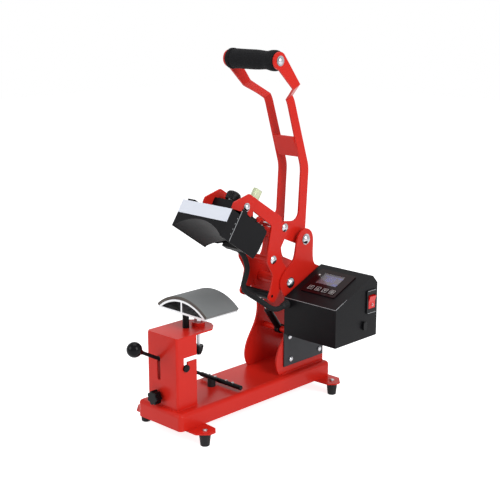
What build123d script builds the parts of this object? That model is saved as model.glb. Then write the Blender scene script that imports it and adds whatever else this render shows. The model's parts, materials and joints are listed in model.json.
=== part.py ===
from build123d import *
from math import acos, asin, atan2, cos, hypot, radians, sin
import os

os.makedirs("parts", exist_ok=True)

# A cap heat press, shown open. Millimetres, +Z up, +X to the operator's right, -Y to the front.
# The origin is on the floor, halfway between the four feet.

# ---------------------------------------------------------------- driving dimensions
pin_play = 0.05          # radial play of a pin that turns in its hole
touch = 0.3              # clearance of pieces that pass or seat next to each other
layer_gap = 1.0          # between two neighbouring plates of the linkage
plate_sheet = 4.0        # frame, arm, link and handle plates

# base tray, its straps and feet
base_width = 125.0
base_length = 433.0
tray_height = 34.0
tray_sheet = 2.5
tray_corner = 9.0
foot_height = 27.0
foot_top_radius = 12.0
foot_bottom_radius = 9.0
foot_x = 86.0
foot_y = 186.0
strap_sheet = 3.0
strap_half_length = 24.0
tab_reach = 19.0         # the tab's tip past the foot's centre
foot_screw_radius = 2.5
foot_screw_head = 5.0

# front post
post_half_width = 42.5
post_front = -215.3
post_depth = 54.6
post_height = 143.0
post_sheet = 3.0
post_corner = 4.0
post_margin = 10.7       # the tray shows this far in front of the post
base_shift = post_front - post_margin + base_length / 2
slot_x = -10.0
slot_width = 9.0
slot_low = 114.0
slot_high = 163.0
notch_width = 9.0
tongue_tip_y = -98.0
tongue_half_tip = 13.0
tongue_shoulder_y = -106.0
tongue_shoulder_half = 28.0
tongue_root_y = -123.0

# clamp lever
lever_pin_y = -193.0
lever_pin_z = 145.0
lever_pin_radius = 4.0
lever_hub_radius = 9.0
lever_hub_length = 16.0
lever_rod_radius = 3.5
lever_slope = 28.6
lever_front_length = 91.7
bar_gap = 3.9            # under the lever's cross bar, down to the tray
ball_radius = 15.0
bar_half_length = 58.0
bar_radius = 4.8
bar_screw_radius = 3.0
bar_screw_x = (16.0, 34.0)
stop_radius = 8.2
stop_gap = 3.6           # between the rubber stop and the cross bar

# star knob of the post
star_z = 81.5
star_radius = 14.2
star_depth = 14.0
star_lobes = 7

# platen support
stud_y = -153.0
stud_radius = 6.5
clamp_x = 5.0
clamp_y = -125.0
boss_radius = 13.0
boss_height = 7.0
nut_radius = 8.0
clamp_rod_radius = 3.0
wing_height = 19.0
wing_top_radius = 10.0
wing_bottom_radius = 5.0
wing_top_z = 166.0

# lower platen and pad
platen_front = -164.0
platen_length = 86.0
platen_base_z = 236.0
platen_base_sheet = 4.0
platen_half_width = 64.0
platen_wall = 4.0
platen_web = 4.0
pad_half_width = 70.0
pad_tip_z = 243.8
pad_rise = 26.0
pad_thickness = 6.3

# frame plates and the three pivot points, seen from the right side
frame_outer_x = 47.0
frame_rear_y = 200.0
hinge_y = 94.0
hinge_z = 257.0
handle_pivot_y = 140.0
handle_pivot_z = 341.0
pivot_radius = 5.0
dome_radius = 9.6
dome_height = 6.2
washer_radius = 11.2
washer_sheet = 1.4
tie_radius = 8.0

# toggle: crank on the handle and its link to the arm
crank_dy = -53.0
crank_dz = 31.0
open_tilt = 34.2         # how far the arm stands tipped back from its shut position
link_pin_u = -69.2       # the link's pin on the arm, from the main hinge, with the press shut
link_pin_w = 20.05
link_eye = 13.0
arm_dome_radius = 8.6

# arm, in its shut position from the main hinge: u to the rear, w up
bolt_u = -199.5
bolt_rise = 28.0         # over the head's top, as are the next two rises
tail_u = -29.0
tail_w = -44.0
tail_bar_radius = 8.5
hinge_tube_radius = 10.5

# pressure screw and knob
screw_u = -203.0
knob_radius = 14.5
knob_height = 19.0
knob_rise = 34.0
thread_radius = 5.0
nut_block_width = 18.0
bolt_depth = 12.0

# head, in its shut position
head_half_width = 68.0
head_front_y = -164.0
head_seam_y = -137.6
head_rear_y = -52.0
cover_sheet = 1.5
heat_gap = 1.5           # between the pad and the heat plate with the press shut
heat_plate_wall = 8.0
head_bottom_z = 247.4
head_front_top_z = 304.0
side_rise = 6.5          # the head's sides over its front top
label_height = 27.0
label_sheet = 0.8

# handle
handle_outer_x = 32.0
ear_outer_x = 69.0
grip_y = 35.0
grip_z = 708.5
grip_radius = 20.5
grip_half_length = 63.0
rod_radius = 6.0
cross_height = 42.0

# gas strut
strut_foot_y = 112.0
strut_foot_z = 145.0
strut_radius = 7.5
strut_rod_radius = 3.5

# control box on the right side
box_left = 51.0
box_right = 187.6
box_front = 71.6
box_rear = 202.0
box_bottom = 152.8
box_front_top = 231.2
box_slope = 23.5
box_slope_length = 125.0
box_sheet = 2.0
insert_low = 31.0
insert_high = 108.0
insert_left = 68.0
insert_right = 158.0
insert_sheet = 2.2
window_left = 85.0
window_right = 138.0
window_low = 63.0
window_high = 97.0
button_slope_y = 45.0
button_x = (88.0, 106.5, 125.0, 143.5)
button_size = 13.0
button_rise = 1.2
button_travel = 1.0
inlet_y = 181.0
inlet_z = 228.0
inlet_width = 30.0
inlet_height = 48.0
inlet_rim = 3.0
rocker_width = 20.0
rocker_height = 26.0
fuse_y = 160.0
fuse_z = 181.0
fuse_radius = 7.0

# heater lead
lead_radius = 5.5

# ---------------------------------------------------------------- places that follow from them
strap_low = foot_height
strap_top = strap_low + strap_sheet
tray_low = strap_top
tray_top = tray_low + tray_height
post_rear = post_front + post_depth
post_top = tray_top + post_height
frame_in_x = frame_outer_x - plate_sheet
arm_outer_x = frame_in_x - layer_gap
arm_in_x = arm_outer_x - plate_sheet
link_outer_x = arm_in_x - layer_gap
link_in_x = link_outer_x - plate_sheet
handle_in_x = handle_outer_x - plate_sheet
ear_in_x = ear_outer_x - plate_sheet
hole_radius = pivot_radius + pin_play
head_top_w = head_front_top_z - hinge_z
bolt_w = head_top_w + bolt_rise
knob_bottom_w = head_top_w + knob_rise
tilt_cos = cos(radians(open_tilt))
tilt_sin = sin(radians(open_tilt))


def tipped(u, w):
    """The open place (y, z) of a point that lies u behind and w above the main hinge when shut."""
    return hinge_y + u * tilt_cos + w * tilt_sin, hinge_z - u * tilt_sin + w * tilt_cos


def arm_side(x):
    """The tipped plane at x, seen from the right, for outlines in (u, w)."""
    return Plane(origin=(x, hinge_y, hinge_z), x_dir=(0, tilt_cos, -tilt_sin), z_dir=(1, 0, 0))


def arm_level(w):
    """The tipped plane w above the main hinge, for outlines in (x, u)."""
    y, z = tipped(0, w)
    return Plane(origin=(0, y, z), x_dir=(1, 0, 0), z_dir=(0, tilt_sin, tilt_cos))


def arm_front(u):
    """The tipped plane u behind the main hinge, facing forwards, for outlines in (x, w)."""
    y, z = tipped(u, 0)
    return Plane(origin=(0, y, z), x_dir=(1, 0, 0), z_dir=(0, -tilt_cos, tilt_sin))


def side_base(x, y, z, side=1):
    """A base plane at (x, y, z) whose axis points to the right (side 1) or to the left (side -1)."""
    return Plane(origin=(x, y, z), x_dir=(0, 1, 0), z_dir=(side, 0, 0))


def profile_plane(base):
    """The plane through a base plane's axis: x points away from the axis, y along it."""
    return Plane(origin=base.origin, x_dir=base.x_dir, z_dir=base.x_dir.cross(base.z_dir))


def bar(base, radius, length, mode=Mode.ADD):
    """A round bar or bore that starts on a base plane and follows its axis."""
    with BuildSketch(base) as section:
        Circle(radius)
    extrude(section.sketch, amount=length, mode=mode)


def turned(base, outline, mode=Mode.ADD):
    """A turned piece on a base plane's axis; its outline holds (radius, height) points."""
    with BuildSketch(profile_plane(base)) as profile:
        Polygon(*outline, align=None)
    revolve(profile.sketch, axis=Axis(base.origin, base.z_dir), mode=mode)


def domed_cap(base, radius, height, washer=0.0):
    """A domed bolt cap that stands on a washer."""
    if washer:
        bar(base, washer, washer_sheet)
    seat = base.offset(washer_sheet if washer else 0)
    rim = 0.25 * height
    ball = (radius ** 2 + (height - rim) ** 2) / (2 * (height - rim))
    half_angle = asin(min(radius / ball, 1)) / 2
    with BuildSketch(profile_plane(seat)) as profile:
        with BuildLine():
            Polyline((0, height), (0, 0), (radius, 0), (radius, rim))
            ThreePointArc((radius, rim), (ball * sin(half_angle), height - ball + ball * cos(half_angle)),
                          (0, height))
        make_face()
    revolve(profile.sketch, axis=Axis(seat.origin, seat.z_dir))


def pan_screw(base, head_radius, shank_radius, shank_length):
    """A pan-head screw: the head stands on the base plane, the shank goes down from it."""
    turned(base, ((0, -shank_length), (shank_radius, -shank_length), (shank_radius, 0), (head_radius, 0),
                  (head_radius, 0.35 * head_radius), (0.6 * head_radius, 0.6 * head_radius),
                  (0, 0.6 * head_radius)))


# ---------------------------------------------------------------- base
with BuildPart() as base_tray:
    with BuildSketch(Plane.XY.offset(tray_low)):
        with Locations((0, base_shift)):
            RectangleRounded(base_width, base_length, tray_corner)
    extrude(amount=tray_height)
    fillet(base_tray.faces().sort_by(Axis.Z)[-1].edges(), tray_corner - 1)
    offset(amount=-tray_sheet, openings=base_tray.faces().sort_by(Axis.Z)[0])
base_tray.part.label = "base_tray"
export_step(base_tray.part, "parts/base_tray.step")

tab_outline = (
    (0, -strap_half_length),
    (foot_x, -strap_half_length),
    (foot_x + tab_reach, -4),
    (foot_x + tab_reach, 10),
    (foot_x + tab_reach - 13, 22),
    (base_width / 2, strap_half_length),
    (0, strap_half_length),
)
with BuildPart() as foot_straps:
    with BuildSketch(Plane.XY.offset(strap_low)):
        for row in (-1, 1):
            with BuildLine():
                Polyline(*[(x, row * (foot_y - y)) for x, y in tab_outline], close=True)
            make_face()
        mirror(about=Plane.YZ)
        with GridLocations(2 * foot_x, 2 * foot_y, 2, 2):
            Circle(foot_screw_radius + pin_play, mode=Mode.SUBTRACT)
    extrude(amount=strap_sheet)
foot_straps.part.label = "foot_straps"
export_step(foot_straps.part, "parts/foot_straps.step")

foot_bore_depth = 16.0
with BuildPart() as rubber_feet:
    for foot_side in (-foot_x, foot_x):
        for row in (-foot_y, foot_y):
            turned(Plane(origin=(foot_side, row, 0)),
                   ((0, 0), (foot_bottom_radius - 1, 0), (foot_bottom_radius, 1),
                    (foot_top_radius, foot_height), (foot_screw_radius, foot_height),
                    (foot_screw_radius, foot_height - foot_bore_depth), (0, foot_height - foot_bore_depth)))
rubber_feet.part.label = "rubber_feet"
export_step(rubber_feet.part, "parts/rubber_feet.step")

# screws of the feet and of the box bracket
bracket_sheet = 3.0
bracket_front = 74.0
bracket_rear = 196.0
bracket_low = 80.0
bracket_screw_radius = 2.5
bracket_screws = ((93.8, 92.9), (184.6, 92.9), (90.0, 142.4))
bracket_outer_x = frame_outer_x + bracket_sheet
with BuildPart() as frame_screws:
    for foot_side in (-foot_x, foot_x):
        for row in (-foot_y, foot_y):
            pan_screw(Plane(origin=(foot_side, row, strap_top)), foot_screw_head, foot_screw_radius,
                      strap_sheet + foot_bore_depth - touch)
    for y, z in bracket_screws:
        pan_screw(side_base(bracket_outer_x, y, z), foot_screw_head, bracket_screw_radius,
                  bracket_sheet + plate_sheet)
frame_screws.part.label = "frame_screws"
export_step(frame_screws.part, "parts/frame_screws.step")

# ---------------------------------------------------------------- front post
post_top_low = post_top - post_sheet
post_y = post_front + post_depth / 2
star_screw_radius = 3.0
stud_screw_radius = 3.0
notch_mid_z = 160.75
with BuildPart() as front_post:
    with BuildSketch(Plane.XY.offset(tray_top)):
        with Locations((0, post_y)):
            RectangleRounded(2 * post_half_width, post_depth, post_corner)
        with Locations((0, post_y + post_sheet)):
            Rectangle(2 * (post_half_width - post_sheet), post_depth, mode=Mode.SUBTRACT)
        with Locations((0, post_rear)):
            Rectangle(3 * post_half_width, 2 * post_corner, mode=Mode.SUBTRACT)
    extrude(amount=post_top_low - tray_top)
    with BuildSketch(Plane.YZ):
        with Locations((lever_pin_y, lever_pin_z)):
            Circle(notch_width / 2)
            Rectangle(notch_width, notch_mid_z - lever_pin_z, align=(Align.CENTER, Align.MIN))
        with Locations((lever_pin_y - notch_width / 2, notch_mid_z)):
            Rectangle(post_depth, notch_width, align=(Align.MIN, Align.CENTER))
    extrude(amount=2 * post_half_width, both=True, mode=Mode.SUBTRACT)
    with BuildSketch(Plane.XZ.offset(-post_front)):
        with Locations((slot_x, (slot_low + slot_high) / 2)):
            SlotOverall(slot_high - slot_low, slot_width, rotation=90)
        with Locations((slot_x, star_z)):
            Circle(star_screw_radius + pin_play)
    extrude(amount=-post_depth / 2, mode=Mode.SUBTRACT)
    with BuildSketch(Plane.XY.offset(post_top_low)):
        with BuildLine():
            Polyline((-post_half_width, tongue_root_y), (-post_half_width, post_front + post_corner),
                     (-post_half_width + post_corner, post_front),
                     (post_half_width - post_corner, post_front),
                     (post_half_width, post_front + post_corner), (post_half_width, tongue_root_y),
                     (tongue_shoulder_half, tongue_shoulder_y), (tongue_half_tip, tongue_tip_y),
                     (-tongue_half_tip, tongue_tip_y), (-tongue_shoulder_half, tongue_shoulder_y),
                     close=True)
        make_face()
        with Locations((0, stud_y)):
            Circle(stud_screw_radius, mode=Mode.SUBTRACT)
        with Locations((clamp_x, clamp_y)):
            Circle(clamp_rod_radius + pin_play, mode=Mode.SUBTRACT)
    extrude(amount=post_sheet)
front_post.part.label = "front_post"
export_step(front_post.part, "parts/front_post.step")

# ---------------------------------------------------------------- clamp lever
lever_cos = cos(radians(lever_slope))
lever_sin = sin(radians(lever_slope))
lever_rear_length = (lever_pin_z - tray_top - bar_radius - bar_gap) / lever_sin
rod_base = Plane(origin=(slot_x, lever_pin_y, lever_pin_z), x_dir=(1, 0, 0),
                 z_dir=(0, -lever_cos, lever_sin))
pin_head_radius = 7.0
pin_head_length = 3.5
with BuildPart() as lever_pin:
    bar(side_base(-post_half_width - pin_head_length, lever_pin_y, lever_pin_z), lever_pin_radius,
        2 * (post_half_width + pin_head_length))
    for side in (-1, 1):
        bar(side_base(side * (post_half_width + pin_play), lever_pin_y, lever_pin_z, side),
            pin_head_radius, pin_head_length)
    bar(side_base(slot_x - lever_hub_length / 2, lever_pin_y, lever_pin_z), lever_hub_radius,
        lever_hub_length)
    bar(rod_base.offset(-2 * lever_hub_radius), lever_rod_radius, 4 * lever_hub_radius, mode=Mode.SUBTRACT)
lever_pin.part.label = "lever_pin"
export_step(lever_pin.part, "parts/lever_pin.step")

ball_bore = 8.0
with BuildPart() as lever_rod:
    bar(rod_base.offset(-lever_rear_length + bar_radius), lever_rod_radius,
        lever_rear_length - bar_radius + lever_front_length - ball_radius + ball_bore)
lever_rod.part.label = "lever_rod"
export_step(lever_rod.part, "parts/lever_rod.step")

ball_base = rod_base.offset(lever_front_length)
with BuildPart(ball_base) as ball_knob:
    Sphere(ball_radius)
    bar(ball_base.offset(-2 * ball_radius), lever_rod_radius, ball_radius + ball_bore, mode=Mode.SUBTRACT)
ball_knob.part.label = "ball_knob"
export_step(ball_knob.part, "parts/ball_knob.step")

bar_y = lever_pin_y + lever_rear_length * lever_cos
bar_z = lever_pin_z - lever_rear_length * lever_sin
stop_y = bar_y - bar_radius - stop_gap - stop_radius
with BuildPart() as lever_crossbar:
    bar(side_base(-bar_half_length, bar_y, bar_z), bar_radius, 2 * bar_half_length)
    fillet(lever_crossbar.edges().filter_by(GeomType.CIRCLE), 1.5)
    bar(rod_base.offset(-lever_rear_length + bar_radius), lever_rod_radius, 2 * bar_radius,
        mode=Mode.SUBTRACT)
    for x in bar_screw_x:
        for side in (-1, 1):
            bar(Plane(origin=(side * x, bar_y, bar_z)), bar_screw_radius / 2, 2 * bar_radius,
                mode=Mode.SUBTRACT)
lever_crossbar.part.label = "lever_crossbar"
export_step(lever_crossbar.part, "parts/lever_crossbar.step")

with BuildPart() as crossbar_screws:
    for x in bar_screw_x:
        for side in (-1, 1):
            pan_screw(Plane(origin=(side * x, bar_y, bar_z + bar_radius)), bar_screw_radius,
                      bar_screw_radius / 2,
                      bar_radius)
crossbar_screws.part.label = "crossbar_screws"
export_step(crossbar_screws.part, "parts/crossbar_screws.step")

stop_height = 20.0
with BuildPart() as lever_stop:
    bar(Plane(origin=(slot_x, stop_y, tray_top)), stop_radius, stop_height)
    split(bisect_by=Plane(origin=(slot_x, lever_pin_y, lever_pin_z), x_dir=(1, 0, 0),
                          z_dir=(0, lever_sin, lever_cos)).offset(-lever_rod_radius - touch),
                          keep=Keep.BOTTOM)
lever_stop.part.label = "lever_stop"
export_step(lever_stop.part, "parts/lever_stop.step")

# ---------------------------------------------------------------- star knob
star_screw_length = 30.0
star_neck = 5.0
star_base = Plane(origin=(slot_x, post_front, star_z), x_dir=(1, 0, 0), z_dir=(0, -1, 0))
lobe_radius = 4.0
with BuildPart() as star_knob:
    with BuildSketch(star_base.offset(star_neck)):
        Circle(star_radius - 2.5)
        with PolarLocations(star_radius - lobe_radius, star_lobes):
            Circle(lobe_radius)
    extrude(amount=star_depth)
    fillet(star_knob.faces().sort_by(Axis.Y)[0].edges(), 1.5)
    bar(star_base.offset(touch), 6.0, star_neck)
    bar(star_base.offset(-star_screw_length), star_screw_radius, star_screw_length + star_neck)
star_knob.part.label = "star_knob"
export_step(star_knob.part, "parts/star_knob.step")

# ---------------------------------------------------------------- platen support
with BuildPart() as platen_stud:
    bar(Plane(origin=(0, stud_y, post_top)), stud_radius, platen_base_z - post_top)
    bar(Plane(origin=(0, stud_y, post_top_low)), stud_screw_radius - pin_play, post_sheet)
platen_stud.part.label = "platen_stud"
export_step(platen_stud.part, "parts/platen_stud.step")

nut_bore_top = platen_base_z - 6.0
with BuildPart() as clamp_boss:
    bar(Plane(origin=(clamp_x, clamp_y, post_top)), boss_radius, boss_height)
    bar(Plane(origin=(clamp_x, clamp_y, post_top)), clamp_rod_radius + pin_play, boss_height,
        mode=Mode.SUBTRACT)
clamp_boss.part.label = "clamp_boss"
export_step(clamp_boss.part, "parts/clamp_boss.step")

with BuildPart() as clamp_nut:
    with BuildSketch(Plane(origin=(clamp_x, clamp_y, post_top + boss_height))):
        RegularPolygon(nut_radius, 6)
    extrude(amount=platen_base_z - post_top - boss_height)
    bar(Plane(origin=(clamp_x, clamp_y, post_top + boss_height)), clamp_rod_radius + pin_play,
        nut_bore_top - post_top - boss_height, mode=Mode.SUBTRACT)
clamp_nut.part.label = "clamp_nut"
export_step(clamp_nut.part, "parts/clamp_nut.step")

wing_base = Plane(origin=(clamp_x, clamp_y, wing_top_z))
with BuildPart() as clamp_knob:
    turned(wing_base, ((clamp_rod_radius, 0), (wing_top_radius - 1, 0), (wing_top_radius, -2),
                       (0.8 * wing_top_radius, -0.6 * wing_height), (wing_bottom_radius, -wing_height + 1),
                       (wing_bottom_radius - 1, -wing_height), (0, -wing_height), (0, -wing_height / 2),
                       (clamp_rod_radius, -wing_height / 2)))
clamp_knob.part.label = "clamp_knob"
export_step(clamp_knob.part, "parts/clamp_knob.step")

with BuildPart() as clamp_screw:
    bar(wing_base.offset(-wing_height / 2), clamp_rod_radius,
        nut_bore_top - touch - wing_top_z + wing_height / 2)
clamp_screw.part.label = "clamp_screw"
export_step(clamp_screw.part, "parts/clamp_screw.step")

# ---------------------------------------------------------------- lower platen and pad
pad_radius = (pad_half_width ** 2 + pad_rise ** 2) / (2 * pad_rise)
arch_centre_z = pad_tip_z + pad_rise - pad_radius
platen_radius = pad_radius - pad_thickness
platen_tip = platen_half_width + 2.0
with BuildPart() as lower_platen:
    with BuildSketch(Plane.XZ.offset(-platen_front)):
        with Locations((0, arch_centre_z)):
            Circle(platen_radius)
            Circle(platen_radius - platen_wall, mode=Mode.SUBTRACT)
        with Locations((0, platen_base_z)):
            Rectangle(2 * platen_tip, pad_radius, align=(Align.CENTER, Align.MIN), mode=Mode.INTERSECT)
            Rectangle(2 * platen_half_width, platen_base_sheet, align=(Align.CENTER, Align.MIN))
            Rectangle(platen_web, arch_centre_z + platen_radius - platen_base_z - platen_wall / 2,
                      align=(Align.CENTER, Align.MIN))
    extrude(amount=-platen_length)
lower_platen.part.label = "lower_platen"
export_step(lower_platen.part, "parts/lower_platen.step")

with BuildPart() as silicone_pad:
    with BuildSketch(Plane.XZ.offset(-platen_front)):
        with Locations((0, arch_centre_z)):
            Circle(pad_radius)
            Circle(platen_radius, mode=Mode.SUBTRACT)
        with Locations((0, platen_base_z)):
            Rectangle(2 * pad_half_width, pad_radius, align=(Align.CENTER, Align.MIN), mode=Mode.INTERSECT)
    extrude(amount=-platen_length)
silicone_pad.part.label = "silicone_pad"
export_step(silicone_pad.part, "parts/silicone_pad.step")

# ---------------------------------------------------------------- frame
lobe = 22.5
strut_pin_radius = 6.0
tie_places = ((184.0, 243.0), (184.0, 98.0))


def frame_plate(x, screws):
    """One frame plate between x and x + plate_sheet: foot, waist, main hinge eye and handle eye."""
    with BuildSketch(Plane.YZ.offset(x)) as outline:
        with BuildLine():
            Spline((hinge_y - 31, tray_top), (hinge_y - 40, tray_top + 34), (hinge_y - 32.5, tray_top + 56),
                   (hinge_y - 9.5, hinge_z - 99), (hinge_y - 3, hinge_z - 60), (hinge_y - 15, hinge_z - 29),
                   (hinge_y - 29.5, hinge_z + 1), (hinge_y - 18, hinge_z + 24), (hinge_y + 9, hinge_z + 46),
                   (handle_pivot_y - 27, handle_pivot_z - 2), (handle_pivot_y - 18, handle_pivot_z + 14),
                   (handle_pivot_y, handle_pivot_z + lobe), (handle_pivot_y + 18, handle_pivot_z + 13),
                   (handle_pivot_y + 23.5, handle_pivot_z - 16), (handle_pivot_y + 30, handle_pivot_z - 58))
            Polyline((handle_pivot_y + 30, handle_pivot_z - 58), (frame_rear_y, hinge_z + 12),
                     (frame_rear_y, tray_top), (hinge_y - 31, tray_top))
        make_face()
        with Locations((hinge_y, hinge_z), (handle_pivot_y, handle_pivot_z)):
            Circle(pivot_radius, mode=Mode.SUBTRACT)
        if screws:
            with Locations(*bracket_screws):
                Circle(bracket_screw_radius, mode=Mode.SUBTRACT)
    extrude(outline.sketch, amount=plate_sheet)


with BuildPart() as frame_plate_right:
    frame_plate(frame_in_x, True)
frame_plate_right.part.label = "frame_plate_right"
export_step(frame_plate_right.part, "parts/frame_plate_right.step")

with BuildPart() as frame_plate_left:
    frame_plate(-frame_outer_x, False)
frame_plate_left.part.label = "frame_plate_left"
export_step(frame_plate_left.part, "parts/frame_plate_left.step")

with BuildPart() as frame_ties:
    for y, z in tie_places:
        bar(side_base(-frame_in_x, y, z), tie_radius, 2 * frame_in_x)
    bar(side_base(-frame_in_x, strut_foot_y, strut_foot_z), strut_pin_radius, 2 * frame_in_x)
frame_ties.part.label = "frame_ties"
export_step(frame_ties.part, "parts/frame_ties.step")

with BuildPart() as pivot_bolts:
    for y, z in ((hinge_y, hinge_z), (handle_pivot_y, handle_pivot_z)):
        bar(side_base(-frame_outer_x, y, z), pivot_radius, 2 * frame_outer_x)
        for side in (-1, 1):
            domed_cap(side_base(side * frame_outer_x, y, z, side), dome_radius, dome_height, washer_radius)
    for side in (-1, 1):
        bar(side_base(side * (arm_outer_x + pin_play), hinge_y, hinge_z, side), 2 * pivot_radius,
            layer_gap - pin_play)
        bar(side_base(side * (handle_outer_x + pin_play), handle_pivot_y, handle_pivot_z, side),
            2 * pivot_radius,
            frame_in_x - handle_outer_x - pin_play)
pivot_bolts.part.label = "pivot_bolts"
export_step(pivot_bolts.part, "parts/pivot_bolts.step")

# ---------------------------------------------------------------- upper arm
arm_lobe = 22.5
tail_screw_radius = 3.0
arm_corners = (           # u, w and the corner's radius
    (-40, 28, 14), (-60, 46, 20), (-96, head_top_w + 56.5, 6), (-206, head_top_w + 54, 6),
    (-234.5, head_top_w + 21.5, 6), (-233.6, head_top_w + 7.8, 3), (-195, head_top_w + 18, 3),
    (-176.5, head_top_w + 16, 2), (-179, head_top_w + 30, 2), (-113, head_top_w + 29, 8), (-94, 28, 14),
    (-80, 7, 12), (-50, -7, 14), (-40, -36, 16), (-37, -56, 9), (-14, -54, 10),
)


def arm_plate(x):
    """One arm plate between x and x + plate_sheet, drawn in the shut position and tipped open."""
    with BuildSketch(arm_side(x)) as outline:
        with BuildLine():
            FilletPolyline((-12, 20), *[(u, w) for u, w, r in arm_corners], (-14, -16),
                           radius=[r for u, w, r in arm_corners])
            ThreePointArc((-14, -16), (arm_lobe, 0), (-12, 20))
        make_face()
        Circle(hole_radius, mode=Mode.SUBTRACT)
        with Locations((link_pin_u, link_pin_w), (bolt_u, bolt_w)):
            Circle(pivot_radius, mode=Mode.SUBTRACT)
        with Locations((tail_u, tail_w)):
            Circle(tail_screw_radius, mode=Mode.SUBTRACT)
    extrude(outline.sketch, amount=plate_sheet)


with BuildPart() as arm_plate_right:
    arm_plate(arm_in_x)
arm_plate_right.part.label = "arm_plate_right"
export_step(arm_plate_right.part, "parts/arm_plate_right.step")

with BuildPart() as arm_plate_left:
    arm_plate(-arm_outer_x)
arm_plate_left.part.label = "arm_plate_left"
export_step(arm_plate_left.part, "parts/arm_plate_left.step")

# the hinge tube, and the tie tube that carries the terminal cap
tie_u = -168.0
tie_w = head_top_w + 45
arm_tie_radius = 6.0
with BuildPart() as arm_tubes:
    bar(side_base(-arm_in_x, hinge_y, hinge_z), hinge_tube_radius, 2 * arm_in_x)
    bar(side_base(-arm_in_x, hinge_y, hinge_z), hole_radius, 2 * arm_in_x, mode=Mode.SUBTRACT)
    bar(side_base(-arm_in_x, *tipped(tie_u, tie_w)), arm_tie_radius, 2 * arm_in_x)
arm_tubes.part.label = "arm_tubes"
export_step(arm_tubes.part, "parts/arm_tubes.step")

tail_y, tail_z = tipped(tail_u, tail_w)
with BuildPart() as tail_bar:
    bar(side_base(-arm_in_x, tail_y, tail_z), tail_bar_radius, 2 * arm_in_x)
    for side in (-1, 1):
        bar(side_base(side * arm_in_x, tail_y, tail_z, side), tail_screw_radius, plate_sheet - touch)
tail_bar.part.label = "tail_bar"
export_step(tail_bar.part, "parts/tail_bar.step")

nut_low_w = head_top_w + 15
nut_high_w = knob_bottom_w - washer_sheet
with BuildPart() as nut_block:
    with BuildSketch(arm_level(nut_low_w)):
        with Locations((0, screw_u)):
            Rectangle(2 * arm_in_x, nut_block_width)
            Circle(thread_radius + pin_play, mode=Mode.SUBTRACT)
    extrude(amount=nut_high_w - nut_low_w)
    for side in (-1, 1):
        bar(side_base(side * (arm_in_x - bolt_depth), *tipped(bolt_u, bolt_w), side), pivot_radius,
            bolt_depth,
            mode=Mode.SUBTRACT)
nut_block.part.label = "nut_block"
export_step(nut_block.part, "parts/nut_block.step")

link_pin_y, link_pin_z = tipped(link_pin_u, link_pin_w)
bolt_y, bolt_z = tipped(bolt_u, bolt_w)
with BuildPart() as arm_bolts:
    for side in (-1, 1):
        domed_cap(side_base(side * arm_outer_x, link_pin_y, link_pin_z, side), arm_dome_radius,
                  dome_height - 1.5)
        bar(side_base(side * (link_outer_x + touch), link_pin_y, link_pin_z, side), pivot_radius,
            arm_outer_x - link_outer_x - touch)
        domed_cap(side_base(side * arm_outer_x, bolt_y, bolt_z, side), 0.75 * dome_radius,
                  dome_height - 1.5,
                  dome_radius - 1)
        bar(side_base(side * (arm_in_x - bolt_depth), bolt_y, bolt_z, side), pivot_radius,
            bolt_depth + plate_sheet)
arm_bolts.part.label = "arm_bolts"
export_step(arm_bolts.part, "parts/arm_bolts.step")

cap_length = 19.0
cap_height = 34.0
cap_thick = 12.0
cap_x = 20.0
with BuildPart() as terminal_cap:
    with BuildSketch(arm_level(tie_w)):
        with Locations((cap_x, tie_u)):
            RectangleRounded(cap_thick, cap_length, 3)
    extrude(amount=cap_height)
    bar(side_base(0, *tipped(tie_u, tie_w)), arm_tie_radius, 2 * arm_in_x, mode=Mode.SUBTRACT)
terminal_cap.part.label = "terminal_cap"
export_step(terminal_cap.part, "parts/terminal_cap.step")

# ---------------------------------------------------------------- toggle links
crank_y = handle_pivot_y + crank_dy
crank_z = handle_pivot_z + crank_dz
with BuildPart() as toggle_links:
    for x in (-link_outer_x, link_in_x):
        with BuildSketch(Plane.YZ.offset(x)):
            with Locations((crank_y, crank_z), (link_pin_y, link_pin_z)):
                Circle(link_eye)
            make_hull()
            with Locations((crank_y, crank_z)):
                Circle(hole_radius, mode=Mode.SUBTRACT)
        extrude(amount=plate_sheet)
    bar(side_base(-link_in_x, link_pin_y, link_pin_z), pivot_radius, 2 * link_in_x)
toggle_links.part.label = "toggle_links"
export_step(toggle_links.part, "parts/toggle_links.step")

# ---------------------------------------------------------------- handle
handle_rise = grip_z - handle_pivot_z
jog_low_z = handle_pivot_z + 0.7783 * handle_rise
jog_high_z = handle_pivot_z + 0.8735 * handle_rise
cross_low_z = handle_pivot_z + 0.46 * handle_rise
cross_high_z = cross_low_z + cross_height
lower_bend_z = handle_pivot_z + 0.4 * handle_rise
upper_bend_z = handle_pivot_z + 0.788 * handle_rise
bend_radius = 60.0
lower_bend_front = 0.8   # behind the handle's pivot, as are the rear one and the foot
lower_bend_rear = 23.5
foot_front = -6.5
foot_rear = 14.0
upper_bend_front = 61.5  # behind the grip's axis, as is the rear one
upper_bend_rear = 82.0
crank_lobe = 13.0
crank_drop = 9.0         # how far the crank's foot hangs below its pin
ear_radius = 17.0
jog_angle = atan2(ear_outer_x - handle_outer_x, jog_high_z - jog_low_z)
jog_lift = plate_sheet * (1 - cos(jog_angle)) / sin(jog_angle)
jog_slope = radians(26.5)  # the creases rise to the rear, square to the bar
jog_y = grip_y + 60
ear_top_z = grip_z + 4 * ear_radius
ear_reach = hypot(upper_bend_rear, grip_z - upper_bend_z)
ear_turn = acos(ear_radius / ear_reach) - atan2(grip_z - upper_bend_z, upper_bend_rear)
ear_tangent = (grip_y + ear_radius * cos(ear_turn), grip_z + ear_radius * sin(ear_turn))
cross_lean = 16.5
cross_front_y = 118.8
front_edge = (
    (crank_y, crank_z + crank_lobe - 1),
    (handle_pivot_y + foot_front, crank_z + crank_lobe / 2),
    (handle_pivot_y + lower_bend_front, lower_bend_z),
    (grip_y + upper_bend_front, upper_bend_z),
    (grip_y - 2, grip_z - ear_radius),
)
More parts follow.
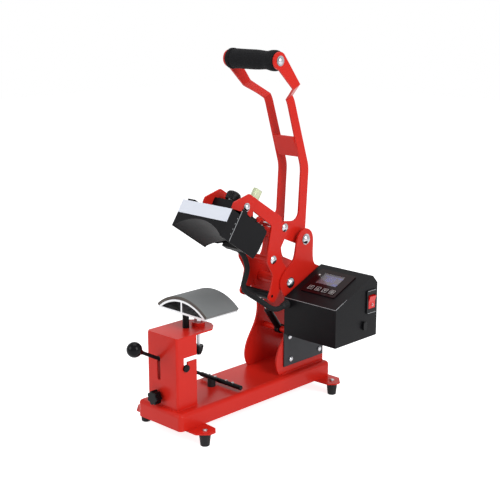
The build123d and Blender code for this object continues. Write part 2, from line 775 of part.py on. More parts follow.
rear_edge = (
    ear_tangent,
    (grip_y + upper_bend_rear, upper_bend_z),
    (handle_pivot_y + lower_bend_rear, lower_bend_z),
    (handle_pivot_y + foot_rear, handle_pivot_z),
)
with BuildPart() as handle_frame:
    with BuildSketch(Plane.YZ.offset(handle_in_x)):
        with BuildLine():
            FilletPolyline(*front_edge, radius=[0.3 * bend_radius, bend_radius, bend_radius])
            Polyline((grip_y - 2, grip_z - ear_radius), (grip_y, grip_z), ear_tangent)
            FilletPolyline(*rear_edge, radius=bend_radius)
            Polyline((handle_pivot_y + foot_rear, handle_pivot_z), (crank_y, crank_z),
                     (crank_y, crank_z + crank_lobe - 1))
        make_face()
        with Locations((grip_y, grip_z)):
            Circle(ear_radius)
        with Locations((handle_pivot_y, handle_pivot_z)):
            Circle(crank_lobe + 1)
    extrude(amount=ear_outer_x - handle_in_x)
    with BuildSketch(Plane.YZ.offset(handle_in_x)):
        with Locations((crank_y, crank_z), (crank_y, crank_z - crank_drop)):
            Circle(crank_lobe)
        with Locations((handle_pivot_y, handle_pivot_z)):
            Circle(crank_lobe + 1)
        make_hull()
    extrude(amount=plate_sheet)
    with BuildSketch(Plane.XZ.offset(-jog_y)):
        with BuildLine():
            Polyline((handle_in_x, 0), (handle_outer_x, 0), (handle_outer_x, jog_low_z),
                     (ear_outer_x, jog_high_z), (ear_outer_x, ear_top_z), (ear_in_x, ear_top_z),
                     (ear_in_x, jog_high_z + jog_lift), (handle_in_x, jog_low_z + jog_lift), close=True)
        make_face()
    extrude(amount=handle_rise, dir=(0, cos(jog_slope), sin(jog_slope)), both=True, mode=Mode.INTERSECT)
    bar(side_base(handle_in_x, handle_pivot_y, handle_pivot_z), hole_radius, plate_sheet,
        mode=Mode.SUBTRACT)
    bar(side_base(handle_in_x, crank_y, crank_z), pivot_radius, plate_sheet, mode=Mode.SUBTRACT)
    bar(side_base(ear_in_x, grip_y, grip_z), rod_radius, plate_sheet, mode=Mode.SUBTRACT)
    mirror(about=Plane.YZ)
    with BuildSketch(Plane.YZ.offset(-handle_in_x)):
        with BuildLine():
            Polyline((cross_front_y, cross_high_z), (cross_front_y + cross_lean, cross_low_z),
                     (cross_front_y + cross_lean + plate_sheet, cross_low_z + 1),
                     (cross_front_y + plate_sheet, cross_high_z + 1), close=True)
        make_face()
    extrude(amount=2 * handle_in_x)
handle_frame.part.label = "handle_frame"
export_step(handle_frame.part, "parts/handle_frame.step")

with BuildPart() as grip_rod:
    bar(side_base(-ear_outer_x, grip_y, grip_z), rod_radius, 2 * ear_outer_x)
    for side in (-1, 1):
        domed_cap(side_base(side * ear_outer_x, grip_y, grip_z, side), rod_radius + 1.5, 4.5,
                  rod_radius + 4)
grip_rod.part.label = "grip_rod"
export_step(grip_rod.part, "parts/grip_rod.step")

grip_waist = 18.6
half_grip = ((rod_radius, 0), (grip_waist, 0), (grip_waist, 38), (grip_radius, 46),
             (grip_radius, grip_half_length - 2),
             (grip_radius - 2, grip_half_length), (rod_radius, grip_half_length))
with BuildPart() as foam_grip:
    turned(side_base(0, grip_y, grip_z, 1), half_grip)
    turned(side_base(0, grip_y, grip_z, -1), half_grip)
foam_grip.part.label = "foam_grip"
export_step(foam_grip.part, "parts/foam_grip.step")

with BuildPart() as crank_bolts:
    bar(side_base(-link_outer_x, crank_y, crank_z), pivot_radius, 2 * link_outer_x)
    for side in (-1, 1):
        domed_cap(side_base(side * (link_outer_x + pin_play), crank_y, crank_z, side), arm_dome_radius,
                  dome_height - 1.5)
        bar(side_base(side * (handle_outer_x + pin_play), crank_y, crank_z, side), 2 * pivot_radius,
            layer_gap - 2 * pin_play)
crank_bolts.part.label = "crank_bolts"
export_step(crank_bolts.part, "parts/crank_bolts.step")

# ---------------------------------------------------------------- gas strut
strut_eye = 10.0
strut_eye_half = 6.0
strut_reach = hypot(tail_y - strut_foot_y, tail_z - strut_foot_z)
strut_gap = 0.4
strut_dy = (tail_y - strut_foot_y) / strut_reach
strut_dz = (tail_z - strut_foot_z) / strut_reach
strut_base = Plane(origin=(0, strut_foot_y, strut_foot_z), x_dir=(1, 0, 0), z_dir=(0, strut_dy, strut_dz))
strut_end = strut_reach - tail_bar_radius - strut_gap
strut_fitting = 10.0
strut_travel = 31.0
strut_spare = 1.5        # left between the fitting and the cylinder with the press shut
strut_engaged = 16.0     # of the rod inside the cylinder when open
strut_length = strut_end - strut_fitting - strut_travel - strut_spare
strut_bore_start = strut_length - strut_engaged - strut_travel - strut_spare
with BuildPart() as strut_cylinder:
    bar(strut_base, strut_radius, strut_length)
    fillet(strut_cylinder.edges().filter_by(GeomType.CIRCLE), 1.5)
    bar(side_base(-strut_eye_half, strut_foot_y, strut_foot_z), strut_eye, 2 * strut_eye_half)
    bar(side_base(-strut_eye, strut_foot_y, strut_foot_z), strut_pin_radius + pin_play, 2 * strut_eye,
        mode=Mode.SUBTRACT)
    bar(strut_base.offset(strut_bore_start), strut_rod_radius + pin_play, strut_length, mode=Mode.SUBTRACT)
strut_cylinder.part.label = "strut_cylinder"
export_step(strut_cylinder.part, "parts/strut_cylinder.step")

with BuildPart() as strut_rod:
    bar(strut_base.offset(strut_length - strut_engaged), strut_rod_radius,
        strut_end - strut_length + strut_engaged)
    bar(strut_base.offset(strut_end - strut_fitting), strut_rod_radius + 2, strut_fitting)
strut_rod.part.label = "strut_rod"
export_step(strut_rod.part, "parts/strut_rod.step")

# ---------------------------------------------------------------- head
head_front_u = head_front_y - hinge_y
head_seam_u = head_seam_y - hinge_y
head_rear_u = head_rear_y - hinge_y
side_top_w = head_top_w + side_rise
head_low_w = head_bottom_z - hinge_z
arch_w = arch_centre_z - hinge_z
heat_radius = pad_radius + heat_gap
side_in_x = head_half_width - cover_sheet
ear_top_w = head_top_w + 13
rear_chamfer = 6.0
rear_chamfer_w = 10.0


with BuildPart() as heater_cover:
    with BuildSketch(arm_side(-head_half_width)):
        Polygon((head_front_u, head_low_w), (head_front_u, head_top_w), (head_seam_u, head_top_w),
                (head_seam_u, ear_top_w), (head_seam_u + 14, ear_top_w), (head_seam_u + 18, side_top_w),
                (head_rear_u - 4, side_top_w), (head_rear_u, side_top_w - 4), (head_rear_u, rear_chamfer_w),
                (head_rear_u - rear_chamfer, head_low_w), align=None)
    extrude(amount=2 * head_half_width)
    with BuildSketch(arm_side(-side_in_x)):
        Polygon((head_seam_u - cover_sheet, head_top_w), (head_seam_u - cover_sheet, ear_top_w + 1),
                (head_rear_u + 1, ear_top_w + 1), (head_rear_u + 1, head_top_w), align=None)
        Polygon((head_front_u + cover_sheet, head_low_w - 5),
                (head_front_u + cover_sheet, head_top_w - cover_sheet),
                (head_rear_u - cover_sheet, head_top_w - cover_sheet),
                (head_rear_u - cover_sheet, head_low_w - 5),
                align=None)
    extrude(amount=2 * side_in_x, mode=Mode.SUBTRACT)
    with BuildSketch(arm_front(head_front_u - 1)):
        with Locations((0, arch_w)):
            Circle(heat_radius)
        with Locations((0, head_low_w - 10)):
            Rectangle(2 * side_in_x, 3 * head_half_width, align=(Align.CENTER, Align.MIN),
                      mode=Mode.INTERSECT)
    extrude(amount=head_front_u - head_rear_u - 10, mode=Mode.SUBTRACT)
    with BuildSketch(arm_level(head_top_w - 2 * cover_sheet)):
        with Locations((0, screw_u)):
            Circle(thread_radius + pin_play)
    extrude(amount=4 * cover_sheet, mode=Mode.SUBTRACT)
heater_cover.part.label = "heater_cover"
export_step(heater_cover.part, "parts/heater_cover.step")


def arch_band(inner_radius, outer_radius, half_width, front_u, rear_u):
    """A band of the arch under the head, from a front to a rear station."""
    with BuildSketch(arm_front(front_u)) as band:
        with Locations((0, arch_w)):
            Circle(outer_radius)
            Circle(inner_radius, mode=Mode.SUBTRACT)
        with Locations((0, head_low_w)):
            Rectangle(2 * half_width, 2 * head_half_width, align=(Align.CENTER, Align.MIN),
                      mode=Mode.INTERSECT)
    extrude(band.sketch, amount=front_u - rear_u)


heat_half_width = side_in_x
element_sheet = 4.0
element_half_width = 58.0
wool_sheet = 12.0
with BuildPart() as heat_plate:
    arch_band(heat_radius, heat_radius + heat_plate_wall, heat_half_width, head_front_u + cover_sheet,
              head_rear_u - rear_chamfer - cover_sheet)
heat_plate.part.label = "heat_plate"
export_step(heat_plate.part, "parts/heat_plate.step")

with BuildPart() as heating_element:
    arch_band(heat_radius + heat_plate_wall, heat_radius + heat_plate_wall + element_sheet,
              element_half_width,
              head_front_u + 6, head_rear_u - 14)
heating_element.part.label = "heating_element"
export_step(heating_element.part, "parts/heating_element.step")

with BuildPart() as insulation_mat:
    arch_band(heat_radius + heat_plate_wall + element_sheet,
              heat_radius + heat_plate_wall + element_sheet + wool_sheet,
              element_half_width, head_front_u + 4, head_rear_u - 12)
insulation_mat.part.label = "insulation_mat"
export_step(insulation_mat.part, "parts/insulation_mat.step")

with BuildPart() as label_plate:
    with BuildSketch(arm_front(head_front_u)):
        with Locations((0, head_top_w)):
            Rectangle(2 * head_half_width, label_height, align=(Align.CENTER, Align.MAX))
    extrude(amount=label_sheet)
label_plate.part.label = "label_plate"
export_step(label_plate.part, "parts/label_plate.step")

# the black block that guides the head between the arm plates, with its two screws on each side
block_front_u = -176.0
block_rear_u = -150.0
block_top_w = head_top_w + 23
block_step_w = head_top_w + 11
block_half_width = 62.0
block_step_x = 34.0
block_screw_radius = 3.2
block_thread_radius = 1.5
block_thread_length = 8.0
block_screws = ((block_step_x + 22, -168.0), (block_step_x + 22, -156.5))
with BuildPart() as head_block:
    with BuildSketch(arm_level(head_top_w)):
        with Locations((0, (block_front_u + block_rear_u) / 2)):
            Rectangle(2 * block_half_width, block_rear_u - block_front_u)
    extrude(amount=block_step_w - head_top_w)
    with BuildSketch(arm_level(block_step_w)):
        with Locations((0, (block_front_u + block_rear_u) / 2)):
            Rectangle(2 * block_step_x, block_rear_u - block_front_u)
    extrude(amount=block_top_w - block_step_w)
    with BuildSketch(arm_level(block_step_w)):
        with Locations(*block_screws, *[(-x, u) for x, u in block_screws]):
            Circle(block_thread_radius)
    extrude(amount=-block_thread_length, mode=Mode.SUBTRACT)
head_block.part.label = "head_block"
export_step(head_block.part, "parts/head_block.step")

with BuildPart() as cover_screws:
    for x, u in block_screws:
        for side in (-1, 1):
            level = arm_level(block_step_w)
            pan_screw(Plane(origin=level.from_local_coords(Vector(side * x, u, 0)), x_dir=(1, 0, 0),
                            z_dir=level.z_dir), block_screw_radius, block_thread_radius,
                            block_thread_length)
cover_screws.part.label = "cover_screws"
export_step(cover_screws.part, "parts/cover_screws.step")

# black plugs: the lead's outlet at the rear, and the plug on the front of the top
outlet_w = 13.0
outlet_height = 18.0
outlet_depth = 16.0
outlet_half_width = 26.0
outlet_x = -6.0
plug_x = -52.0
plug_radius = 8.0
with BuildPart() as cover_plugs:
    with BuildSketch(arm_front(head_rear_u)):
        with Locations((outlet_x, outlet_w)):
            Rectangle(2 * outlet_half_width, outlet_height)
    extrude(amount=-outlet_depth)
    with BuildSketch(arm_level(head_top_w)):
        with Locations((plug_x, head_front_u + plug_radius + 1)):
            Rectangle(2 * plug_radius, 1.4 * plug_radius)
    extrude(amount=5)
cover_plugs.part.label = "cover_plugs"
export_step(cover_plugs.part, "parts/cover_plugs.step")

# ---------------------------------------------------------------- pressure screw and knob
screw_y, screw_z = tipped(screw_u, knob_bottom_w)
knob_base = Plane(origin=(0, screw_y, screw_z), x_dir=(1, 0, 0), z_dir=(0, tilt_sin, tilt_cos))
screw_foot_w = head_top_w - 6.0
collar_radius = 8.0
knurl_count = 24
with BuildPart() as pressure_knob:
    turned(knob_base, ((0, 0), (knob_radius - 1, 0), (knob_radius, 1), (knob_radius, knob_height - 5),
                       (knob_radius - 2, knob_height - 2), (knob_radius - 6, knob_height),
                       (0, knob_height)))
    with BuildSketch(knob_base):
        with PolarLocations(knob_radius + 0.4, knurl_count):
            Circle(1.1)
    extrude(amount=knob_height - 4, mode=Mode.SUBTRACT)
    bar(knob_base, thread_radius, 10, mode=Mode.SUBTRACT)
pressure_knob.part.label = "pressure_knob"
export_step(pressure_knob.part, "parts/pressure_knob.step")

with BuildPart() as pressure_screw:
    bar(knob_base.offset(screw_foot_w - knob_bottom_w), thread_radius, knob_bottom_w - screw_foot_w + 10)
    bar(knob_base.offset(head_top_w + touch - knob_bottom_w), collar_radius, 5)
    bar(knob_base.offset(-washer_sheet + touch), collar_radius + 1, washer_sheet - touch)
pressure_screw.part.label = "pressure_screw"
export_step(pressure_screw.part, "parts/pressure_screw.step")

# ---------------------------------------------------------------- control box
slope_cos = cos(radians(box_slope))
slope_sin = sin(radians(box_slope))
box_top_y = box_front + box_slope_length * slope_cos
box_top_z = box_front_top + box_slope_length * slope_sin
box_width = box_right - box_left
box_lip_z = box_top_z - 17.0


def panel(height=0.0):
    """The sloping panel's plane, raised by height: x across, y up the slope from its front edge."""
    return Plane(origin=(0, box_front, box_front_top), x_dir=(1, 0, 0),
                 z_dir=(0, -slope_sin, slope_cos)).offset(height)


def panel_box(left, right, low, high, bottom, height, mode=Mode.ADD):
    """A block on the sloping panel between two stations each way."""
    with BuildSketch(panel(bottom)) as section:
        with Locations(((left + right) / 2, (low + high) / 2)):
            Rectangle(right - left, high - low)
    extrude(section.sketch, amount=height, mode=mode)


bracket_top = box_bottom
shelf_right = 150.0
shelf_sheet = 2.0
with BuildPart() as box_bracket:
    with BuildSketch(Plane.YZ.offset(frame_outer_x)):
        with BuildLine():
            Polyline((bracket_front, bracket_low), (bracket_rear, bracket_low), (bracket_rear, bracket_top),
                     (bracket_front, bracket_top), close=True)
        make_face()
        with Locations(*bracket_screws):
            Circle(bracket_screw_radius, mode=Mode.SUBTRACT)
    extrude(amount=bracket_sheet)
    with BuildSketch(Plane.XY.offset(box_bottom - shelf_sheet)):
        with Locations(((frame_outer_x + shelf_right) / 2, (bracket_front + bracket_rear) / 2)):
            Rectangle(shelf_right - frame_outer_x, bracket_rear - bracket_front - 16)
    extrude(amount=shelf_sheet)
box_bracket.part.label = "box_bracket"
export_step(box_bracket.part, "parts/box_bracket.step")

lead_in_x = 59.0
lead_in_z = 219.0
insert_inset = 5.0
with BuildPart() as control_box:
    with BuildSketch(Plane.YZ.offset(box_left)):
        with BuildLine():
            Polyline((box_front, box_bottom), (box_front, box_front_top), (box_top_y, box_top_z),
                     (box_rear, box_lip_z), (box_rear, box_bottom), close=True)
        make_face()
    extrude(amount=box_width)
    fillet(control_box.edges().filter_by(Axis.X).sort_by(Axis.Z)[-1], 3)
    offset(amount=-box_sheet, openings=control_box.faces().sort_by(Axis.Y)[-1])
    panel_box(insert_left + insert_inset, insert_right - insert_inset, insert_low + insert_inset,
              insert_high - insert_inset, -2 * box_sheet, 4 * box_sheet, mode=Mode.SUBTRACT)
    with BuildSketch(Plane.YZ.offset(box_right - 2 * box_sheet)):
        with Locations((inlet_y, inlet_z)):
            Rectangle(inlet_width - 2 * inlet_rim, inlet_height - 2 * inlet_rim)
        with Locations((fuse_y, fuse_z)):
            Circle(fuse_radius - 2)
    extrude(amount=4 * box_sheet, mode=Mode.SUBTRACT)
    bar(Plane(origin=(lead_in_x, box_front - 1, lead_in_z), x_dir=(1, 0, 0), z_dir=(0, 1, 0)),
        lead_radius + 1,
        2 * box_sheet, mode=Mode.SUBTRACT)
control_box.part.label = "control_box"
export_step(control_box.part, "parts/control_box.step")

with BuildPart() as box_back:
    with BuildSketch(Plane.XZ.offset(-box_rear)):
        with Locations(((box_left + box_right) / 2, box_bottom + box_sheet + touch)):
            Rectangle(box_width - 2 * (box_sheet + touch), box_lip_z - box_bottom - 3 * box_sheet,
                      align=(Align.CENTER, Align.MIN))
    extrude(amount=box_sheet)
box_back.part.label = "box_back"
export_step(box_back.part, "parts/box_back.step")

window_sheet = 1.6
with BuildPart() as display_panel:
    panel_box(insert_left, insert_right, insert_low, insert_high, 0, insert_sheet)
    fillet(display_panel.edges().filter_by(lambda edge: abs(edge.length - insert_sheet) < 1e-6), 4)
    panel_box(window_left, window_right, window_low, window_high, -1, insert_sheet + 2, mode=Mode.SUBTRACT)
    for x in button_x:
        panel_box(x - button_size / 2, x + button_size / 2, button_slope_y - button_size / 2,
                  button_slope_y + button_size / 2, -1, insert_sheet + 2, mode=Mode.SUBTRACT)
display_panel.part.label = "display_panel"
export_step(display_panel.part, "parts/display_panel.step")

with BuildPart() as display_window:
    panel_box(window_left, window_right, window_low, window_high, insert_sheet - window_sheet, window_sheet)
display_window.part.label = "display_window"
export_step(display_window.part, "parts/display_window.step")

# circuit board on four posts under the panel, with the display and a switch under each button
board_depth = 14.0
board_sheet = 1.6
board_inset = 3.0
switch_height = 4.0
screen_height = 8.0
with BuildPart() as circuit_board:
    panel_box(insert_left - board_inset, insert_right + board_inset, insert_low - board_inset,
              insert_high + board_inset, -board_depth, board_sheet)
    for x in (insert_left, insert_right):
        for y in (insert_low, insert_high):
            with BuildSketch(panel(-board_depth)):
                with Locations((x, y)):
                    Circle(2)
            extrude(amount=board_depth - box_sheet)
    panel_box(window_left - 2, window_right + 2, window_low - 2, window_high + 2, board_sheet - board_depth,
              screen_height)
    for x in button_x:
        panel_box(x - 3, x + 3, button_slope_y - 3, button_slope_y + 3, board_sheet - board_depth,
                  switch_height)
circuit_board.part.label = "circuit_board"
export_step(circuit_board.part, "parts/circuit_board.step")

# push buttons, each with a stem that ends just above its switch
stem_low = board_sheet - board_depth + switch_height + button_travel + 0.2
button_half = button_size / 2 - touch
button_flange = 3.0
for number, x in enumerate(button_x, start=1):
    with BuildPart() as button:
        panel_box(x - button_half, x + button_half, button_slope_y - button_half,
                  button_slope_y + button_half,
                  -button_flange, insert_sheet + button_rise + button_flange)
        with BuildSketch(panel(stem_low)):
            with Locations((x, button_slope_y)):
                Circle(2.5)
        extrude(amount=-button_flange - stem_low)
    button.part.label = f"button_{number}"
    export_step(button.part, f"parts/button_{number}.step")

# switch surround on the right side, its rocker, and the oval fuse holder below
inlet_depth = 24.0
fuse_height = 5.0
fuse_depth = 12.0
opening_play = 1.6
rocker_axis_x = box_right - 1.0
with BuildPart() as side_fittings:
    with BuildSketch(Plane.YZ.offset(box_right)):
        with Locations((inlet_y, inlet_z)):
            RectangleRounded(inlet_width, inlet_height, 2.5)
    extrude(amount=inlet_rim)
    with BuildSketch(Plane.YZ.offset(box_right - inlet_depth)):
        with Locations((inlet_y, inlet_z)):
            Rectangle(inlet_width - 2 * inlet_rim - 2 * touch, inlet_height - 2 * inlet_rim - 2 * touch)
    extrude(amount=inlet_depth)
    with BuildSketch(Plane.YZ.offset(box_right + inlet_rim)):
        with Locations((inlet_y, inlet_z)):
            Rectangle(rocker_width + 2 * touch, rocker_height + 2 * opening_play)
    extrude(amount=-inlet_depth + 4, mode=Mode.SUBTRACT)
    with BuildSketch(Plane.YZ.offset(box_right)):
        with Locations((fuse_y, fuse_z)):
            SlotOverall(2.6 * fuse_radius, 1.6 * fuse_radius, rotation=90)
    extrude(amount=fuse_height)
    bar(side_base(box_right - fuse_depth, fuse_y, fuse_z), fuse_radius - 2 - touch, fuse_depth)
side_fittings.part.label = "side_fittings"
export_step(side_fittings.part, "parts/side_fittings.step")

rocker_throw = 8.0       # half of the rocker's swing, in degrees


def rocked(x, z):
    """A point of the rocker's side profile, from its axis, with its lower end pressed in."""
    turn = radians(rocker_throw)
    return (rocker_axis_x + x * cos(turn) + z * sin(turn), inlet_z + z * cos(turn) - x * sin(turn))


rocker_half = rocker_height / 2
with BuildPart() as power_rocker:
    with BuildSketch(Plane.XZ.offset(-inlet_y)):
        with BuildLine():
            Polyline(rocked(6.0, -rocker_half), rocked(4.2, 0), rocked(6.0, rocker_half),
                     rocked(-3.0, rocker_half - 1), rocked(-9.0, 0), rocked(-3.0, -rocker_half + 1),
                     close=True)
        make_face()
    extrude(amount=rocker_width / 2, both=True)
    bar(Plane(origin=(rocker_axis_x, inlet_y - rocker_width, inlet_z), x_dir=(1, 0, 0), z_dir=(0, 1, 0)),
        0.8,
        2 * rocker_width, mode=Mode.SUBTRACT)
power_rocker.part.label = "power_rocker"
export_step(power_rocker.part, "parts/power_rocker.step")

# ---------------------------------------------------------------- heater lead
# The sleeved lead leaves the head's outlet, hangs in front of the hinge tube, crosses to the right under the
# tail bar and enters the front of the control box.
lead_points = (
    (-18, *tipped(head_rear_u + outlet_depth, outlet_w)),
    (-18, *tipped(head_rear_u + outlet_depth + 14, outlet_w)),
    (-18, 20, 321), (-18, 31, 302), (-18, 37, 282), (-16, 35, 262), (-8, 28, 244), (6, 22, 230),
    (24, 21, 219), (42, 27, 213), (56, 42, 213), (lead_in_x, 58, 217), (lead_in_x, box_front, lead_in_z),
)


def corner_radii(points, share=0.45):
    """The radius at each inner point: a share of its shorter run over the tangent of half the turn."""
    radii = []
    for before, here, after in zip(points, points[1:], points[2:]):
        run_in = Vector(*here) - Vector(*before)
        run_out = Vector(*after) - Vector(*here)
        half_turn = radians(run_in.get_angle(run_out)) / 2
        radii.append(share * min(run_in.length, run_out.length) / (sin(half_turn) / cos(half_turn)))
    return radii


lead_radii = corner_radii(lead_points)
print("heater lead radii", [round(radius, 1) for radius in lead_radii])
with BuildPart() as heater_lead:
    with BuildLine() as lead_path:
        FilletPolyline(*lead_points, radius=lead_radii)
    with BuildSketch(Plane(origin=lead_path.line @ 0, z_dir=lead_path.line % 0)):
        Circle(lead_radius)
    sweep(path=lead_path.line)
heater_lead.part.label = "heater_lead"
export_step(heater_lead.part, "parts/heater_lead.step")
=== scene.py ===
"""A cap heat press, open, in a plain light studio. Metres, +Z up, the operator stands at -Y."""
import json
from math import cos, hypot, pi, radians, sin

import bmesh
import bpy
import numpy as np
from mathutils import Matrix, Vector

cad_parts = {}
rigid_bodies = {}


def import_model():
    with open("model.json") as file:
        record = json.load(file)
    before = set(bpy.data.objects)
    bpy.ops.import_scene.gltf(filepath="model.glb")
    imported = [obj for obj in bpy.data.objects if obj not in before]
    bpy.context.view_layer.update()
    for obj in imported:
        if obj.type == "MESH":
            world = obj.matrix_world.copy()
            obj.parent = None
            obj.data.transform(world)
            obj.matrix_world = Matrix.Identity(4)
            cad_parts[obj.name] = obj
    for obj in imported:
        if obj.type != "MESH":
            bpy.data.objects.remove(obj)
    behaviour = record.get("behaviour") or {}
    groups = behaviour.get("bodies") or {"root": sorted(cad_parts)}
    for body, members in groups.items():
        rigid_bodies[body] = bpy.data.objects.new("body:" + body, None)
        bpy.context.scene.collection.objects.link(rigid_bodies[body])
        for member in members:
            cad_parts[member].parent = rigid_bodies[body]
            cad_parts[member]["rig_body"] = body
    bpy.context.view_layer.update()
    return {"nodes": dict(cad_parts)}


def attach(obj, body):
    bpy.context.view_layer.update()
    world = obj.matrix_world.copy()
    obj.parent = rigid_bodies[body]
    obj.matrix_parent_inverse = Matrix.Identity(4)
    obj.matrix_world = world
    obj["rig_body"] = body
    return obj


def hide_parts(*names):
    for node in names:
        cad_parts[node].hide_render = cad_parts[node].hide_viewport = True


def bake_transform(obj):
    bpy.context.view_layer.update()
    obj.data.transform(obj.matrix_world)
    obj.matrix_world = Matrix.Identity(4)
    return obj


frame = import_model()
bpy.context.scene.view_settings.view_transform = "Standard"

# ---------------------------------------------------------------- places that the CAD gives
MM = 0.001
HINGE = np.array((0.0, 0.094, 0.257))            # the arm's main hinge
OPEN_TILT = radians(34.2)                        # how far the arm stands tipped back
ARM_REAR = np.array((0.0, cos(OPEN_TILT), -sin(OPEN_TILT)))
ARM_UP = np.array((0.0, sin(OPEN_TILT), cos(OPEN_TILT)))
RIGHT = np.array((1.0, 0.0, 0.0))
GRIP = np.array((0.0, 0.035, 0.7085))            # the middle of the grip's axis
LEVER_PIN = np.array((-0.010, -0.193, 0.145))
LEVER_SLOPE = radians(28.6)
PANEL_EDGE = np.array((0.0, 0.0716, 0.2312))     # the front edge of the sloping panel
PANEL_SLOPE = radians(23.5)
PANEL_UP = np.array((0.0, cos(PANEL_SLOPE), sin(PANEL_SLOPE)))
PANEL_OUT = np.array((0.0, -sin(PANEL_SLOPE), cos(PANEL_SLOPE)))
BUTTON_X = (0.088, 0.1065, 0.125, 0.1435)
BUTTON_UP = 0.045
BUTTON_TOP = 0.0034
ARCH_CENTRE = 0.1626                             # height of the platen's arc centre
PAD_RADIUS = 0.1072
PAD_SHEET = 0.0063
PAD_FRONT, PAD_REAR = -0.164, -0.078
PAD_HALF = 0.070


def tipped(x, u, w):
    """A point x to the right of, u behind and w above the main hinge, measured with the press shut."""
    return HINGE + x * RIGHT + u * ARM_REAR + w * ARM_UP


# ---------------------------------------------------------------- camera
CAMERA_PLACE = Vector((1.4479, -1.4570, 0.8323))
CAMERA_BACK = Vector((0.67942, -0.69486, 0.23570))
camera = bpy.data.objects.new("camera", bpy.data.cameras.new("camera"))
bpy.context.scene.collection.objects.link(camera)
camera.location = CAMERA_PLACE
camera.rotation_mode = "QUATERNION"
camera.rotation_quaternion = (-CAMERA_BACK).to_track_quat("-Z", "Y")
camera.data.sensor_width = 36.0
camera.data.lens = 76.08
camera.data.clip_start, camera.data.clip_end = 0.05, 50.0
bpy.context.scene.camera = camera


# ---------------------------------------------------------------- shader helpers
def node(tree, kind, inputs=None, **settings):
    """Adds a shader node; inputs are numbers, colours or sockets to link from."""
    made = tree.nodes.new(kind)
    for key, value in settings.items():
        setattr(made, key, value)
    for key, value in (inputs or {}).items():
        if isinstance(value, bpy.types.NodeSocket):
            tree.links.new(value, made.inputs[key])
        else:
            made.inputs[key].default_value = value
    return made


def maths(tree, operation, a, b=0.0, c=0.0):
    """One Math node's result."""
    return node(tree, "ShaderNodeMath", {0: a, 1: b, 2: c}, operation=operation).outputs[0]


def spread(tree, value, low, high):
    """A 0 to 1 value stretched to run from low to high."""
    made = node(tree, "ShaderNodeMapRange", {"Value": value, "To Min": low, "To Max": high})
    return made.outputs["Result"]


def blended(tree, share, first, second):
    """Two colours mixed by share."""
    made = node(tree, "ShaderNodeMix", {"Factor": share}, data_type="RGBA")
    for socket, value in ((made.inputs[6], first), (made.inputs[7], second)):
        if isinstance(value, bpy.types.NodeSocket):
            tree.links.new(value, socket)
        else:
            socket.default_value = value
    return made.outputs[2]


def new_group(name, inputs, outputs):
    """A shader node group with named inputs (name, kind, value) and outputs (name, kind)."""
    tree = bpy.data.node_groups.new(name, "ShaderNodeTree")
    for label, kind, value in inputs:
        socket = tree.interface.new_socket(label, in_out="INPUT", socket_type=kind)
        socket.default_value = value
    for label, kind in outputs:
        tree.interface.new_socket(label, in_out="OUTPUT", socket_type=kind)
    return tree, tree.nodes.new("NodeGroupInput").outputs, tree.nodes.new("NodeGroupOutput").inputs


def use_group(tree, group, **inputs):
    """Places a group in a material; underscores in the input names stand for spaces."""
    made = tree.nodes.new("ShaderNodeGroup")
    made.node_tree = group
    for key, value in inputs.items():
        made.inputs[key.replace("_", " ")].default_value = value
    return made.outputs


FLOAT, COLOUR, VECTOR = "NodeSocketFloat", "NodeSocketColor", "NodeSocketVector"

# ---------------------------------------------------------------- shared effects
# powder coat: a slow patchiness in the colour, fine orange peel in the height, roughness between two values
coat_group, g_in, g_out = new_group(
    "powder_coat",
    (("Colour", COLOUR, (1, 1, 1, 1)), ("Patch colour", COLOUR, (1, 1, 1, 1)),
     ("Patch scale", FLOAT, 14.0), ("Patch amount", FLOAT, 0.5), ("Grain scale", FLOAT, 900.0),
     ("Smooth", FLOAT, 0.25), ("Rough", FLOAT, 0.4)),
    (("Colour", COLOUR), ("Roughness", FLOAT), ("Height", FLOAT)))
place = node(coat_group, "ShaderNodeTexCoord").outputs["Object"]
patches = node(coat_group, "ShaderNodeTexNoise",
               {"Vector": place, "Scale": g_in["Patch scale"], "Detail": 4.0})
grain = node(coat_group, "ShaderNodeTexNoise",
             {"Vector": place, "Scale": g_in["Grain scale"], "Detail": 2.0})
patch_share = maths(coat_group, "MULTIPLY", patches.outputs["Fac"], g_in["Patch amount"])
patched = blended(coat_group, patch_share, g_in["Colour"], g_in["Patch colour"])
coat_group.links.new(patched, g_out["Colour"])
coat_rough = spread(coat_group, patches.outputs["Fac"], g_in["Smooth"], g_in["Rough"])
coat_group.links.new(coat_rough, g_out["Roughness"])
coat_group.links.new(grain.outputs["Fac"], g_out["Height"])

# drawn metal: noise stretched along one direction gives fine lines in the height and the roughness
drawn_group, g_in, g_out = new_group(
    "drawn_metal",
    (("Stretch", VECTOR, (1.0, 1.0, 1.0)), ("Scale", FLOAT, 300.0), ("Smooth", FLOAT, 0.15),
     ("Rough", FLOAT, 0.35)),
    (("Height", FLOAT), ("Roughness", FLOAT)))
place = node(drawn_group, "ShaderNodeTexCoord").outputs["Object"]
drawn_place = node(drawn_group, "ShaderNodeVectorMath", {0: place, 1: g_in["Stretch"]},
                   operation="MULTIPLY")
lines = node(drawn_group, "ShaderNodeTexNoise",
             {"Vector": drawn_place.outputs[0], "Scale": g_in["Scale"], "Detail": 3.0})
drawn_group.links.new(lines.outputs["Fac"], g_out["Height"])
drawn_rough = spread(drawn_group, lines.outputs["Fac"], g_in["Smooth"], g_in["Rough"])
drawn_group.links.new(drawn_rough, g_out["Roughness"])

